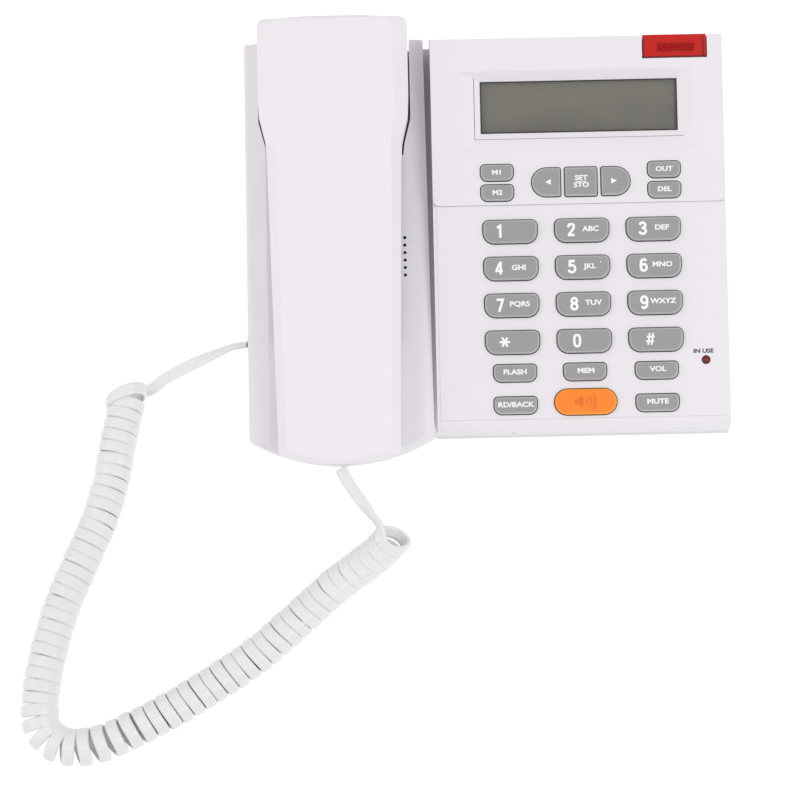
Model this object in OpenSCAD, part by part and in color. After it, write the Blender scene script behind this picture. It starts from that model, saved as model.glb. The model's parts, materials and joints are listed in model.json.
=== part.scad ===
// Corded desk telephone: a wedge-shaped base with a sloping key panel and a display,
// a handset lying in the cradle on the left, and a curly cord on the table beside it.
// Millimetres, +X to the right, +Y to the back and +Z up. The origin is on the table,
// under the middle of the telephone without its cord.
// Places on the key face and on the cradle are given as x, v and n: x across, v up the
// slope from its front edge, and n out of the surface.

/* [Base] */
// Overall width of the base
base_w = 199.2; // [198.8:0.2:199.6]
// Width of the key panel, which is the right part of the base
panel_w = 121.2; // [121:0.2:121.4]
// Back wall of the base
back_y = 81.5; // [81:0.5:82]
// Front edge of the key face
face_y = -75; // [-75.5:0.5:-74.5]
// Height of the front edge of the key face
front_h = 17.5; // [17.5:0.5:18.5]
// Slope of the key face in degrees
face_tilt = 12.5; // [12.5:0.5:13]
// Slope of the cradle's top in degrees
cradle_tilt = 8.5; // [8.5:0.5:9]
// Radius of the cradle's rounded front end
cradle_r = 74.6; // [74:0.2:75]
// Wall thickness of the base mouldings
wall = 2.2; // [2:0.1:2.3]
// Height of the rubber feet
foot_h = 2.5; // [2:0.5:3]
// Height of the joint between the two base mouldings
parting_z = 8; // [7.8:0.1:8.2]

/* [Display] */
// Where the display fascia starts on the key face
fascia_v = 91; // [90.5:0.5:91.5]
// Height of the fascia above the key face
fascia_rise = 0.8; // [0.6:0.1:1]
// Width of the clear window
window_w = 82; // [80:1:83]
// Height of the clear window
window_h = 21.7; // [20.7:0.5:22.2]
// Width of the ringer lamp's lens
lens_w = 26.4; // [25:0.2:27]

/* [Keys] */
// Distance between the key columns
key_pitch_x = 29.65; // [29:0.05:30]
// Distance between the rows of number keys
key_pitch_v = 15.3; // [15:0.1:15.5]
// Width of a number key
number_w = 22.4; // [21:0.2:23]
// Height of a number key
number_h = 9.8; // [9:0.2:10.2]
// How far a number key stands above the face
key_rise = 1.8; // [1.4:0.1:2.2]
// How far a key travels when pressed
key_travel = 1.2; // [1:0.1:1.3]
// Gap between a key and the edge of its hole
key_gap = 0.3; // [0.25:0.05:0.4]

/* [Handset] */
// Axis of the handset
handset_x = -62; // [-62.2:0.1:-61.8]
// Mouth end of the handset, along the cradle
mouth_v = -15.8; // [-16:0.1:-15.6]
// Ear end of the handset, along the cradle
ear_v = 169.2; // [169:0.2:170]
// Half width of the ear end
ear_half = 31.1; // [30.9:0.1:31.2]
// Half width of the grip where it meets the ear end
grip_half = 27.6; // [27.4:0.1:27.8]
// Half width of the mouth end
mouth_half = 25; // [24.8:0.1:25.2]
// Wall thickness of the handset mouldings
handset_wall = 2; // [1.8:0.1:2.1]

/* [Cord] */
// Thickness of the cord's straight ends
lead_d = 4; // [3.6:0.2:4.4]
// Outer diameter of the curled cord
curl_d = 15.6; // [15:0.2:15.8]

/* [Hidden] */
$fn = 48;
far = 200;
eps = 0.05;
shell_white = [0.93, 0.92, 0.94];
key_grey = [0.56, 0.56, 0.57];
bone = [0.86, 0.85, 0.86];

// Base outline
base_right = base_w / 2;
base_left = -base_w / 2;
panel_left = base_right - panel_w;
front_y = face_y - 2;
front_bevel = 3;
slope = tan(face_tilt);
floor_z = foot_h + wall + 0.2;
cradle_edge = base_left - handset_x;
cradle_join = panel_left - handset_x + 1;
arc_v = cradle_r - 14.8;
cradle_back = 5;
arc_x = 0.7;
lip = 2.2;
corner_steps = 5;

// Wells that hold the handset, and the groove beside the panel
ear_well_v = 114.2;
ear_well_n = 12;
mouth_well = [45.2, 40, 7];
mouth_well_v = -8;
well_gap = 0.8;
groove_slope = 3;

// Speaker holes in the cradle
grille_rows = 6;
grille_columns = 18;
grille_pitch = 3.15;
grille_r = 0.7;
grille_x = 28.4;
grille_v = 71.3;
speaker_x = grille_x - (grille_columns - 1) * grille_pitch / 2;
speaker_r = [22.5, 20, 13, 12.5];
speaker_h = [1.6, 4, 5];
speaker_cone = [19, 7];

// Display
window_x = 39.9;
window_v = 132;
recess_n = 2.2;
recess_left = 9;
recess_right = 6.5;
recess_bottom = 8.5;
recess_top = 4;
fascia_cut = 1.2;
seat_t = 1.2;
lcd_t = 3;
tub_wall = 1.4;
tub_w = window_w + 2 + 2 * tub_wall;
tub_h = window_h + 2 + 2 * tub_wall;
lens_x = 80;
lens_v = 151.2;
lens_skirt_z = 44;
lens_rise = 0.4;
led_shelf = [12, 14, 2];
led_shelf_v = 147;
led_n = -9;
led_plate = [11, 5, 1.2];
led_at_v = lens_v + 1.3;
lamp_led_r = 2.4;

// Keys: [width, height, corner radii from bottom right anticlockwise, rise]
number_shape = [number_w, number_h, [4.6, 2.4, 2.4, 4.6], key_rise];
function_shape = [17.8, 7.3, [3.2, 1.6, 1.6, 3.2], 1.5];
soft_shape = [13.6, 6.9, [2.8, 1.8, 1.8, 2.8], 2.1];
speaker_shape = [25.8, 10.8, [5.35, 5.35, 5.35, 5.35], 1.8];
left_shape = [12, 12, [0.8, 0.8, 5.9, 5.9], 2.2];
set_shape = [13.4, 12.2, [0.8, 0.8, 0.8, 0.8], 2.2];
right_shape = [12, 12, [5.9, 5.9, 0.8, 0.8], 2.2];
key_x = 10.1;
key_v = 79.8;
number_names = [
    ["key_1", "key_2", "key_3"],
    ["key_4", "key_5", "key_6"],
    ["key_7", "key_8", "key_9"],
    ["key_star", "key_0", "key_hash"]
];
column = [key_x, key_x + key_pitch_x, key_x + 2 * key_pitch_x];
soft_left_x = 5.1;
soft_right_x = 74.3;
function_x = key_x + 0.7;
number_keys = [
    for (r = [0:3])
        for (c = [0:2])
            [number_names[r][c], column[c], key_v - r * key_pitch_v, number_shape]
];
other_keys = [
    ["key_flash", function_x, 21.2, function_shape],
    ["key_mem", column[1], 21.2, function_shape],
    ["key_vol", column[2], 21.2, function_shape],
    ["key_redial_back", function_x, 7.8, function_shape],
    ["key_mute", column[2], 7.8, function_shape],
    ["key_speaker", column[1], 8.8, speaker_shape],
    ["key_m1", soft_left_x, 104.4, soft_shape],
    ["key_m2", soft_left_x, 96.0, soft_shape],
    ["key_out", soft_right_x, 104.4, soft_shape],
    ["key_del", soft_right_x, 96.0, soft_shape],
    ["key_left", 25.4, 100, left_shape],
    ["key_set", 39.8, 100, set_shape],
    ["key_right", 54.2, 100, right_shape]
];
KEYS = concat(number_keys, other_keys);
flange_grow = 0.6;
flange_top = -wall - key_gap;
flange_t = 1;
stem = [5, 4, 1.4];
stem_bottom = flange_top - flange_t - stem[2];
dome_top = stem_bottom - 0.15;
sheet_top = stem_bottom - key_travel - 0.7;
sheet_t = 0.6;
board_top = sheet_top - sheet_t;
board_t = 1.6;
board_at = [-14, 2.4];
board_w = 105;
board_h = 111;
sheet_at = [-7, 3];
sheet_w = 93;
sheet_h = 107;
dome_r = [3.3, 2.4, 1.6];
led_x = 89.9;
led_v = 25.2;
led_r = 1.75;

// Screws, feet and posts
screw_at = [[-91, -58], [-80, 62], [94.4, -66], [94.4, 60]];
screw_r = 1.3;
screw_head_r = 2.7;
screw_head_h = 2;
boss_r = 3.1;
foot_at = [[-84, -69], [80, -69], [-90, 69], [80, 69]];
foot_r = 6;
post_at = [[-12.4, 8], [-12.4, 106], [89.4, 106], [89.4, 62]];
post_r = 1.8;

// Hook lever under the ear well
hook_y = 23.4;
hook_z = 12.6;
hook_pin_r = 1.5;
hook_clearance = 0.05;
barrel_r = 3.2;
barrel_half = 4.2;
arm_bottom = 10.9;
arm_t = 3;
arm_end = 57;
tab = [8, 4, 23.5];
tab_y = 47.4;
slot_y = [42.2, 50];
bracket_t = 2.6;
bracket_half = [4, 11.5];
spring_y = 37;
spring_r = 2.8;
spring_wire = 0.3;
spring_turns = 4;
spring_steps = 12;
switch = [6.4, 12, 5.2];
switch_y = 51.5;
plunger = [2, 2, 5.7];

// Sockets
line_x = 58;
line_body = [14, 14, 11.9];
line_hole = [9.8, 10.5, 6.8];
jack_y = -36.3;
jack_z = 10.1;
jack_body = [13.6, 11, 10];
jack_hole = [11.5, 7.9, 6.7];
plug = [11.4, 7.6, 6.4];
plug_gap = 0.15;
jack_floor = jack_z - jack_body[2] / 2;

mic_x = 10;
mic_z = 10.6;
mic_gap = 0.4;
mic_r = 2.5;
mic_t = 2.6;
mic_hole_r = 0.8;

// Battery bay
cell_r = 5.2;
cell_l = 43.6;
cell_nub = 0.9;
cell_y = [8, 19, 30];
cell_z = 10.1;
bay_x = [20, 67.2];
bay_y = [2.2, 35.8];
bay_top = 15.7;
bay_wall = 1.6;
door_t = 1.6;
door_edge = 3;
door_tab = [7, 8];
door_screw_x = bay_x[1] + 6.6;
door_screw_y = (bay_y[0] + bay_y[1]) / 2;
door_screw_head = 0.8;
door_boss_top = 11;
contact_t = 0.6;
contact_half = 3.5;
cell_start = 1.8;
nub_r = 1.9;

// Handset
top_n = 20.2;
mouth_n = 14.5;
crown = 1.1;
crown_steps = 8;
joint_n = 6;
grip_n = 3;
rest_n = 0.6;
ear_n = -11.4;
mouth_boss_n = -6.7;
side_cut_w = 6;
side_cut_n = 4;
cut_roll = atan2(side_cut_n, side_cut_w);
socket_body = [11, 12, 8];
socket_v = mouth_v + 0.3;
socket_n = 1.6;
socket_hole_n = 2.3;
plug_out = 0.6;
weight = [18, 40, 6];
weight_v = 52;
handset_screw_v = [42, 104];
capsule_v = 147;
capsule_r = 17;
capsule_hole_r = 1;
mic_v = 14;

// Route of the cord, from the handset to the base
lead_handset_route = [
    [-62, -92.7, 20.6],
    [-61.6, -96.5, 19.8],
    [-60, -100.5, 17.4],
    [-57, -105, 14.4],
    [-53, -110, 12.6],
    [-48.5, -114.5, 11.8],
    [-44, -118.5, 11]
];
curl_route = [
    [-40, -118.5],
    [-46, -125],
    [-55, -132],
    [-66, -140],
    [-83, -155],
    [-98, -167.5],
    [-115, -178.5],
    [-132, -188.5],
    [-147, -196],
    [-159, -201],
    [-169, -203],
    [-177.5, -201.5],
    [-183.5, -196.5],
    [-185.5, -189],
    [-185, -179],
    [-183, -167],
    [-180, -155],
    [-176.5, -143.5],
    [-171.5, -131.5],
    [-167, -121],
    [-162.5, -110.5],
    [-159.5, -101],
    [-157, -91],
    [-155.5, -81],
    [-153.5, -71],
    [-151.5, -61],
    [-150.5, -52]
];
lead_base_route = [
    [-148, -55, 10.5],
    [-140, -50.5, 9],
    [-130, -45.5, 6.5],
    [-120, -41, 5],
    [-111, -37.8, 6.5],
    [-105, -36.5, 9],
    [-100.5, -36.3, 10.1]
];
curl_sides = 12;
lead_sides = 8;
curl_z = curl_d / 2 + 0.1;

// ---- Frames and helpers ----

// Puts children on the key face
module on_face(x = 0, v = 0, n = 0) {
    translate([0, face_y, front_h])
        rotate([face_tilt, 0, 0])
            translate([x, v, n])
                children();
}

// Puts children on the cradle's top, with x from the handset's axis
module on_cradle(x = 0, v = 0, n = 0) {
    translate([handset_x, face_y, front_h])
        rotate([cradle_tilt, 0, 0])
            translate([x, v, n])
                children();
}

// Extrudes a side view, drawn in Y and Z, from x0 to x1
module along_x(x0, x1) {
    translate([x0, 0, 0])
        rotate([90, 0, 90])
            linear_extrude(x1 - x0)
                children();
}

// Extrudes a front view, drawn in X and Z, from y0 to y1
module along_y(y0, y1) {
    translate([0, y1, 0])
        rotate([90, 0, 0])
            linear_extrude(y1 - y0)
                children();
}

// Box between two corners
module box(low, high) {
    translate(low)
        cube(high - low);
}

function face_z(y) = front_h + (y - face_y) * slope;

// Quarter circle of points around c, from angle a
function quarter(c, r, a) = [
    for (i = [0:corner_steps])
        c + r * [cos(a + 90 * i / corner_steps), sin(a + 90 * i / corner_steps)]
];

// Outline w by h with four corner radii, grown by g
function rounded(w, h, r, g = 0) = let(
    a = w / 2 + g,
    b = h / 2 + g
) concat(
    quarter([a - r[0] - g, r[0] + g - b], r[0] + g, -90),
    quarter([a - r[1] - g, b - r[1] - g], r[1] + g, 0),
    quarter([r[2] + g - a, b - r[2] - g], r[2] + g, 90),
    quarter([r[3] + g - a, r[3] + g - b], r[3] + g, 180)
);

function unit(v) = v / norm(v);

// Directions along a route at each of its points
function headings(route) = [
    for (i = [0:len(route) - 1])
        unit(route[min(i + 1, len(route) - 1)] - route[max(i - 1, 0)])
];

// Round tube swept along a route of points
module tube(route, r, sides) {
    ahead = headings(route);
    rings = [
        for (i = [0:len(route) - 1])
            let(
                side = unit(cross(ahead[i], [0, 0, 1])),
                up = cross(side, ahead[i])
            )
            for (k = [0:sides - 1])
                route[i] + r * (cos(360 * k / sides) * side + sin(360 * k / sides) * up)
    ];
    last = (len(route) - 1) * sides;
    faces = concat(
        [
            for (i = [0:len(route) - 2])
                for (k = [0:sides - 1])
                    [
                        i * sides + k,
                        i * sides + (k + 1) % sides,
                        (i + 1) * sides + (k + 1) % sides,
                        (i + 1) * sides + k
                    ]
        ],
        [[for (k = [sides - 1:-1:0]) k]],
        [[for (k = [0:sides - 1]) last + k]]
    );
    polyhedron(rings, faces);
}

// ---- Base mouldings ----

// Key panel's part of the base, shrunk by i
module panel_solid(i = 0) {
    low = i > 0 ? -eps : foot_h;
    drop = i / cos(face_tilt);
    along_x(panel_left + i, base_right - i)
        polygon([
            [front_y + i, low],
            [front_y + i, front_h - front_bevel - 0.6 * i],
            [face_y + 0.9 * i, face_z(face_y + 0.9 * i) - drop],
            [back_y - i, face_z(back_y - i) - drop],
            [back_y - i, low]
        ]);
}

// Cradle block in its sloping frame, shrunk by i
module cradle_block(i, right) {
    n = -i;
    intersection() {
        along_y(-far, far)
            polygon([
                [cradle_edge + i, -far / 2],
                [cradle_edge + i, n - 3.2],
                [cradle_edge + 1.1 + i, n - 2.2],
                [cradle_edge + 8.5, n],
                [cradle_join - 7, n],
                [right, n - 1.2],
                [right, -far / 2]
            ]);
        union() {
            translate([arc_x, arc_v, -far / 2])
                cylinder(h = far / 2 - lip - i, r = cradle_r - i, $fn = 180);
            translate([arc_x, arc_v, -lip - i])
                cylinder(h = lip, r1 = cradle_r - i, r2 = cradle_r - i - lip, $fn = 180);
            translate([-far / 2, arc_v, -far / 2])
                cube([far, far, far / 2]);
        }
    }
}

// Cradle's part of the base
module cradle_solid() {
    intersection() {
        on_cradle()
            cradle_block(0, cradle_join);
        box([-far, -far, foot_h], [far, back_y + cradle_back, far]);
    }
}

// Hollow inside the cradle, which passes under the groove to the panel's hollow
module cradle_hollow() {
    intersection() {
        on_cradle()
            difference() {
                cradle_block(wall, cradle_join + 3);
                box([cradle_join - 8.4, -far, -ear_well_n - 0.4], [far, far, far]);
            }
        union() {
            box([-far, -far, -eps], [far, back_y - wall, far]);
            box(
                [-far, -far, -eps],
                [panel_left + 1 - wall, back_y + cradle_back - wall, far]
            );
        }
    }
}

module base_solid() {
    panel_solid();
    cradle_solid();
}

module base_hollow() {
    panel_solid(wall);
    cradle_hollow();
}

// Outline of the ear well, grown by g
function ear_outline(g) = let(
    w = ear_half + well_gap + g,
    m = grip_half + 1 + g,
    v = ear_well_v - g
) [
    [-m, v],
    [m, v],
    [m + 0.6, v + 5],
    [w, v + 15.4],
    [w, far],
    [-w, far],
    [-w, v + 15.4],
    [-m - 0.6, v + 5]
];

module ear_well(g = 0) {
    on_cradle(n = -ear_well_n - g)
        linear_extrude(ear_well_n + g + (g > 0 ? 0 : 20))
            polygon(ear_outline(g));
}

module mouth_well_space(g = 0) {
    on_cradle(v = mouth_well_v + mouth_well[1] / 2, n = -mouth_well[2] - g)
        linear_extrude(mouth_well[2] + g + (g > 0 ? 0 : 20))
            polygon(rounded(mouth_well[0], mouth_well[1], [4, 4, 4, 4], g));
}

// Groove between the cradle and the panel, wider and deeper at the back
module groove() {
    right = cradle_join - 1;
    on_cradle()
        intersection() {
            translate([0, 0, -20])
                linear_extrude(40)
                    polygon([[right - 1.2, -20], [right, -20], [right, far], [right - 3, far]]);
            translate([0, -20, -0.8])
                rotate([-groove_slope, 0, 0])
                    cube([2 * cradle_join, 2 * far, far / 2]);
        }
}

module key_hole(k) {
    on_face(k[1], k[2], -wall - 1)
        linear_extrude(wall + 4)
            polygon(rounded(k[3][0], k[3][1], k[3][2], key_gap));
}

module speaker_holes() {
    for (c = [0:grille_columns - 1])
        for (r = [0:grille_rows - 1])
            on_cradle(
                grille_x - c * grille_pitch,
                grille_v + (r - (grille_rows - 1) / 2) * grille_pitch,
                -wall - 1
            )
                cylinder(h = wall + 2, r = grille_r, $fn = 16);
}

// Room for the two sockets in the walls
module socket_cuts() {
    box(
        [line_x - line_body[0] / 2, back_y - wall - eps, floor_z],
        [line_x + line_body[0] / 2, back_y + 1, floor_z + line_body[2]]
    );
    box(
        [base_left - 1, jack_y - jack_body[1] / 2, jack_floor],
        [base_left + wall + eps, jack_y + jack_body[1] / 2, jack_floor + jack_body[2]]
    );
}

module lens_region(g) {
    on_face(lens_x, lens_v - g, -20)
        translate([-lens_w / 2 - g, 0, 0])
            cube([lens_w + 2 * g, 40, 40]);
}

module base_top_housing() {
    color(shell_white)
        difference() {
            union() {
                difference() {
                    base_solid();
                    base_hollow();
                }
                intersection() {
                    base_solid();
                    union() {
                        ear_well(wall);
                        mouth_well_space(wall);
                        for (p = screw_at)
                            translate([p[0], p[1], parting_z])
                                cylinder(h = far, r = boss_r);
                        for (p = post_at)
                            on_face(p[0], p[1], board_top)
                                cylinder(h = -board_top, r = post_r);
                        on_face(lens_x, led_shelf_v, led_n - led_shelf[2])
                            translate([-led_shelf[0] / 2, 0, 0])
                                cube(led_shelf);
                    }
                }
            }
            box([-far, -far, -eps], [far, far, parting_z]);
            ear_well();
            mouth_well_space();
            groove();
            on_face(0, fascia_v - 0.1, -fascia_cut)
                translate([panel_left - 1, 0, 0])
                    cube([panel_w + 2, far, far]);
            on_face(window_x, window_v, -wall - 1)
                translate([-tub_w / 2 - 0.2, -tub_h / 2 - 0.2, 0])
                    cube([tub_w + 0.4, tub_h + 0.4, wall + 2]);
            intersection() {
                lens_region(0.3);
                box([-far, -far, lens_skirt_z - 0.3], [far, far, far]);
            }
            for (k = KEYS)
                key_hole(k);
            on_face(led_x, led_v, -wall - 1)
                cylinder(h = wall + 2, r = led_r + 0.1);
            speaker_holes();
            box(
                [handset_x - tab[0] / 2 - 0.6, slot_y[0], 16],
                [handset_x + tab[0] / 2 + 0.6, slot_y[1], 30]
            );
            socket_cuts();
            for (p = screw_at)
                translate([p[0], p[1], parting_z - 1])
                    cylinder(h = 8, r = screw_r + eps);
            translate([mic_x, front_y - 1, mic_z])
                rotate([-90, 0, 0])
                    cylinder(h = wall + 2, r = mic_hole_r);
        }
}

module hook_brackets() {
    for (s = [-1, 1])
        translate([handset_x + s * (barrel_half + 0.4 + bracket_t / 2), 0, 0])
            along_x(-bracket_t / 2, bracket_t / 2)
                polygon([
                    [hook_y - bracket_half[0], floor_z - 1],
                    [hook_y + bracket_half[0], floor_z - 1],
                    [hook_y + bracket_half[0] - 1, hook_z + bracket_half[0]],
                    [hook_y - bracket_half[0] + 1, hook_z + bracket_half[0]]
                ]);
}

module bay_solid(g, low) {
    box(
        [bay_x[0] - g, bay_y[0] - g, low],
        [bay_x[1] + g, bay_y[1] + g, bay_top + (g > 0 ? bay_wall : 0)]
    );
}

// Battery door with its screw tab, grown by g
module door_space(g, low) {
    top = foot_h + door_t;
    box(
        [bay_x[0] - door_edge - g, bay_y[0] - door_edge - g, low],
        [bay_x[1] + door_edge + g, bay_y[1] + door_edge + g, top]
    );
    box(
        [bay_x[1], door_screw_y - door_tab[1] / 2 - g, low],
        [bay_x[1] + door_edge + door_tab[0] + g, door_screw_y + door_tab[1] / 2 + g, top]
    );
}

module base_bottom_housing() {
    color(bone)
        difference() {
            union() {
                difference() {
                    base_solid();
                    difference() {
                        base_hollow();
                        box([-far, -far, -eps - 1], [far, far, floor_z]);
                    }
                    box([-far, -far, parting_z], [far, far, far]);
                }
                bay_solid(bay_wall, foot_h + 0.1);
                hook_brackets();
                for (p = screw_at)
                    translate([p[0], p[1], foot_h + 0.1])
                        cylinder(h = parting_z - foot_h - 0.1, r = boss_r);
                translate([door_screw_x, door_screw_y, foot_h + 0.1])
                    cylinder(h = door_boss_top - foot_h - 0.1, r = boss_r);
            }
            bay_solid(0, foot_h + door_t);
            door_space(0.2, foot_h - 1);
            socket_cuts();
            for (p = screw_at)
                translate([p[0], p[1], 0]) {
                    cylinder(h = far / 10, r = screw_r + 0.3);
                    cylinder(h = foot_h + screw_head_h + 0.2, r = screw_head_r + 0.2);
                }
            translate([door_screw_x, door_screw_y, 0])
                cylinder(h = 10, r = screw_r + eps);
            for (p = foot_at)
                translate([p[0], p[1], 0])
                    cylinder(h = 12, r = 2);
            translate([handset_x - 20, hook_y, hook_z])
                rotate([0, 90, 0])
                    cylinder(h = 40, r = hook_pin_r);
        }
}

// Raised plate around the display, with a sloping recess down to the window
module display_fascia() {
    color(shell_white)
        difference() {
            union() {
                intersection() {
                    on_face(0, fascia_v, -fascia_cut)
                        linear_extrude(fascia_cut + fascia_rise)
                            translate([(panel_left + base_right) / 2, far / 2])
                                polygon(rounded(panel_w, far, [3, 1, 1, 3]));
                    box([-far, -far, 0], [far, back_y, far]);
                }
                on_face(window_x, window_v, -recess_n - seat_t)
                    translate([-tub_w / 2, -tub_h / 2, 0])
                        cube([tub_w, tub_h, recess_n + seat_t]);
            }
            display_recess();
            on_face(window_x, window_v, -recess_n - seat_t - 1)
                translate([-window_w / 2 - 1, -window_h / 2 - 1, 0])
                    cube([window_w + 2, window_h + 2, seat_t + 1]);
            for (k = other_keys)
                if (k[2] > fascia_v)
                    key_hole(k);
            lens_region(0.3);
        }
}

module display_recess() {
    deep = recess_n + 1;
    grow = (recess_n + fascia_rise + 1) / (recess_n + fascia_rise);
    top = fascia_rise + 1;
    on_face(window_x, window_v)
        intersection() {
            along_y(-far / 2, far / 2)
                polygon([
                    [-window_w / 2, -deep],
                    [window_w / 2, -deep],
                    [window_w / 2, -recess_n],
                    [window_w / 2 + recess_right * grow, top],
                    [-window_w / 2 - recess_left * grow, top],
                    [-window_w / 2, -recess_n]
                ]);
            along_x(-far / 2, far / 2)
                polygon([
                    [-window_h / 2, -deep],
                    [window_h / 2, -deep],
                    [window_h / 2, -recess_n],
                    [window_h / 2 + recess_top * grow, top],
                    [-window_h / 2 - recess_bottom * grow, top],
                    [-window_h / 2, -recess_n]
                ]);
        }
}

module display_window() {
    color([0.6, 0.62, 0.6, 0.5])
        on_face(window_x, window_v, -recess_n - seat_t)
            linear_extrude(seat_t)
                square([window_w + 2 - 0.1, window_h + 2 - 0.1], center = true);
}

module lcd_module() {
    color([0.47, 0.46, 0.43])
        on_face(window_x, window_v, -recess_n - seat_t - lcd_t)
            linear_extrude(lcd_t)
                square([window_w + 4, window_h + 6], center = true);
}

// Red lens that wraps over the back edge
module ringer_lamp_lens() {
    color([0.8, 0.1, 0.1, 0.8])
        intersection() {
            difference() {
                panel_envelope(lens_rise);
                panel_envelope(-1.1);
            }
            lens_region(0);
            box([-far, -far, lens_skirt_z], [far, far, far]);
        }
}

// Side view of the panel, grown by g on its face and back
module panel_envelope(g) {
    along_x(panel_left, base_right)
        polygon([
            [face_y, foot_h],
            [face_y, face_z(face_y) + g / cos(face_tilt)],
            [back_y + g, face_z(back_y + g) + g / cos(face_tilt)],
            [back_y + g, foot_h]
        ]);
}

module lamp_led() {
    color([0.9, 0.3, 0.3])
        on_face(lens_x, led_at_v, led_n)
            union() {
                translate([-led_plate[0] / 2, -led_plate[1] / 2, 0])
                    cube(led_plate);
                cylinder(h = 4, r = lamp_led_r);
                translate([0, 0, 4])
                    sphere(r = lamp_led_r);
            }
}

module in_use_led() {
    color([0.45, 0.05, 0.08])
        on_face(led_x, led_v, board_top)
            union() {
                cylinder(h = -board_top - 0.9, r = led_r);
                translate([0, 0, -board_top - 0.9])
                    sphere(r = led_r);
            }
}

module main_board() {
    color([0.1, 0.42, 0.2])
        on_face(board_at[0], board_at[1], board_top - board_t)
            cube([board_w, board_h, board_t]);
}

// Rubber sheet with a hollow dome under each key
module keypad_dome_sheet() {
    dome_h = dome_top - sheet_top;
    color([0.75, 0.75, 0.72])
        on_face()
            difference() {
                union() {
                    translate([sheet_at[0], sheet_at[1], board_top])
                        cube([sheet_w, sheet_h, sheet_t]);
                    for (k = KEYS)
                        translate([k[1], k[2], sheet_top - eps])
                            cylinder(h = dome_h + eps, r1 = dome_r[0], r2 = dome_r[1], $fn = 24);
                }
                for (k = KEYS)
                    translate([k[1], k[2], board_top - 1])
                        cylinder(h = dome_h + sheet_t + 0.4, r = dome_r[2], $fn = 24);
            }
}

// One key: cap, flange that keeps it in its hole, and the stem that presses the dome
module key(k) {
    shape = k[3];
    color(k[0] == "key_speaker" ? [1, 0.55, 0.12] : key_grey)
        on_face(k[1], k[2])
            union() {
                translate([0, 0, flange_top - flange_t])
                    linear_extrude(shape[3] - flange_top + flange_t)
                        polygon(rounded(shape[0], shape[1], shape[2]));
                translate([0, 0, flange_top - flange_t])
                    linear_extrude(flange_t)
                        polygon(rounded(shape[0], shape[1], shape[2], flange_grow));
                translate([-stem[0] / 2, -stem[1] / 2, stem_bottom])
                    cube([stem[0], stem[1], stem[2] + eps]);
            }
}

// ---- Parts inside the base ----

module base_speaker() {
    color([0.2, 0.2, 0.22])
        on_cradle(speaker_x, grille_v, -wall)
            rotate([180, 0, 0])
                difference() {
                    union() {
                        cylinder(h = speaker_h[0], r = speaker_r[0]);
                        translate([0, 0, speaker_h[0]])
                            cylinder(h = speaker_h[1], r1 = speaker_r[1], r2 = speaker_r[2]);
                        translate([0, 0, speaker_h[0] + speaker_h[1]])
                            cylinder(h = speaker_h[2], r = speaker_r[3]);
                    }
                    translate([0, 0, -eps])
                        cylinder(h = 4, r1 = speaker_cone[0], r2 = speaker_cone[1]);
                }
}

module speakerphone_microphone() {
    color([0.15, 0.15, 0.16])
        translate([mic_x, front_y + wall + mic_gap, mic_z])
            rotate([-90, 0, 0])
                cylinder(h = mic_t, r = mic_r);
}

// Lever that the handset's ear end holds down
module hook_lever() {
    color(bone)
        difference() {
            translate([handset_x, 0, 0])
                union() {
                    translate([-barrel_half, hook_y, hook_z])
                        rotate([0, 90, 0])
                            cylinder(h = 2 * barrel_half, r = barrel_r);
                    box([-tab[0] / 2, hook_y, arm_bottom], [tab[0] / 2, arm_end, arm_bottom + arm_t]);
                    box(
                        [-tab[0] / 2, tab_y - tab[1] / 2, arm_bottom],
                        [tab[0] / 2, tab_y + tab[1] / 2, tab[2]]
                    );
                }
            translate([handset_x - 10, hook_y, hook_z])
                rotate([0, 90, 0])
                    cylinder(h = 20, r = hook_pin_r + hook_clearance);
        }
}

module hook_pivot_pin() {
    color([0.75, 0.76, 0.78])
        translate([handset_x - 8, hook_y, hook_z])
            rotate([0, 90, 0])
                cylinder(h = 16, r = hook_pin_r);
}

// Compression spring under the lever
module hook_spring() {
    steps = spring_turns * spring_steps;
    height = arm_bottom - floor_z - 2 * spring_wire - 0.2;
    color([0.7, 0.71, 0.74])
        tube(
            [
                for (i = [0:steps])
                    let(a = 360 * i / spring_steps)
                    [
                        handset_x + (spring_r - spring_wire) * cos(a),
                        spring_y + (spring_r - spring_wire) * sin(a),
                        floor_z + spring_wire + 0.1 + height * i / steps
                    ]
            ],
            spring_wire,
            6
        );
}

module hook_microswitch() {
    color([0.12, 0.12, 0.13])
        union() {
            translate([handset_x - switch[0] / 2, switch_y, floor_z])
                cube(switch);
            translate([handset_x - plunger[0] / 2, switch_y + 2, floor_z])
                cube(plunger);
        }
}

// Socket for the handset's cord in the left wall
module handset_cord_jack() {
    color([0.82, 0.82, 0.82])
        difference() {
            box(
                [base_left, jack_y - jack_body[1] / 2, jack_floor],
                [base_left + jack_body[0], jack_y + jack_body[1] / 2, jack_floor + jack_body[2]]
            );
            box(
                [base_left - 1, jack_y - jack_hole[1] / 2, jack_z - jack_hole[2] / 2],
                [base_left + jack_hole[0], jack_y + jack_hole[1] / 2, jack_z + jack_hole[2] / 2]
            );
        }
}

// Socket for the exchange line in the back wall
module line_jack() {
    mid = floor_z + line_body[2] / 2;
    color([0.16, 0.16, 0.17])
        difference() {
            box(
                [line_x - line_body[0] / 2, back_y - line_body[1], floor_z],
                [line_x + line_body[0] / 2, back_y, floor_z + line_body[2]]
            );
            box(
                [line_x - line_hole[0] / 2, back_y - line_hole[1], mid - line_hole[2] / 2],
                [line_x + line_hole[0] / 2, back_y + 1, mid + line_hole[2] / 2]
            );
        }
}

module battery_door() {
    color(bone)
        difference() {
            door_space(0, foot_h);
            translate([door_screw_x, door_screw_y, 0]) {
                cylinder(h = foot_h + 2 * door_t, r = screw_r + 0.3);
                cylinder(h = foot_h + door_screw_head + 0.2, r = screw_head_r + 0.2);
            }
        }
}

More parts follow.
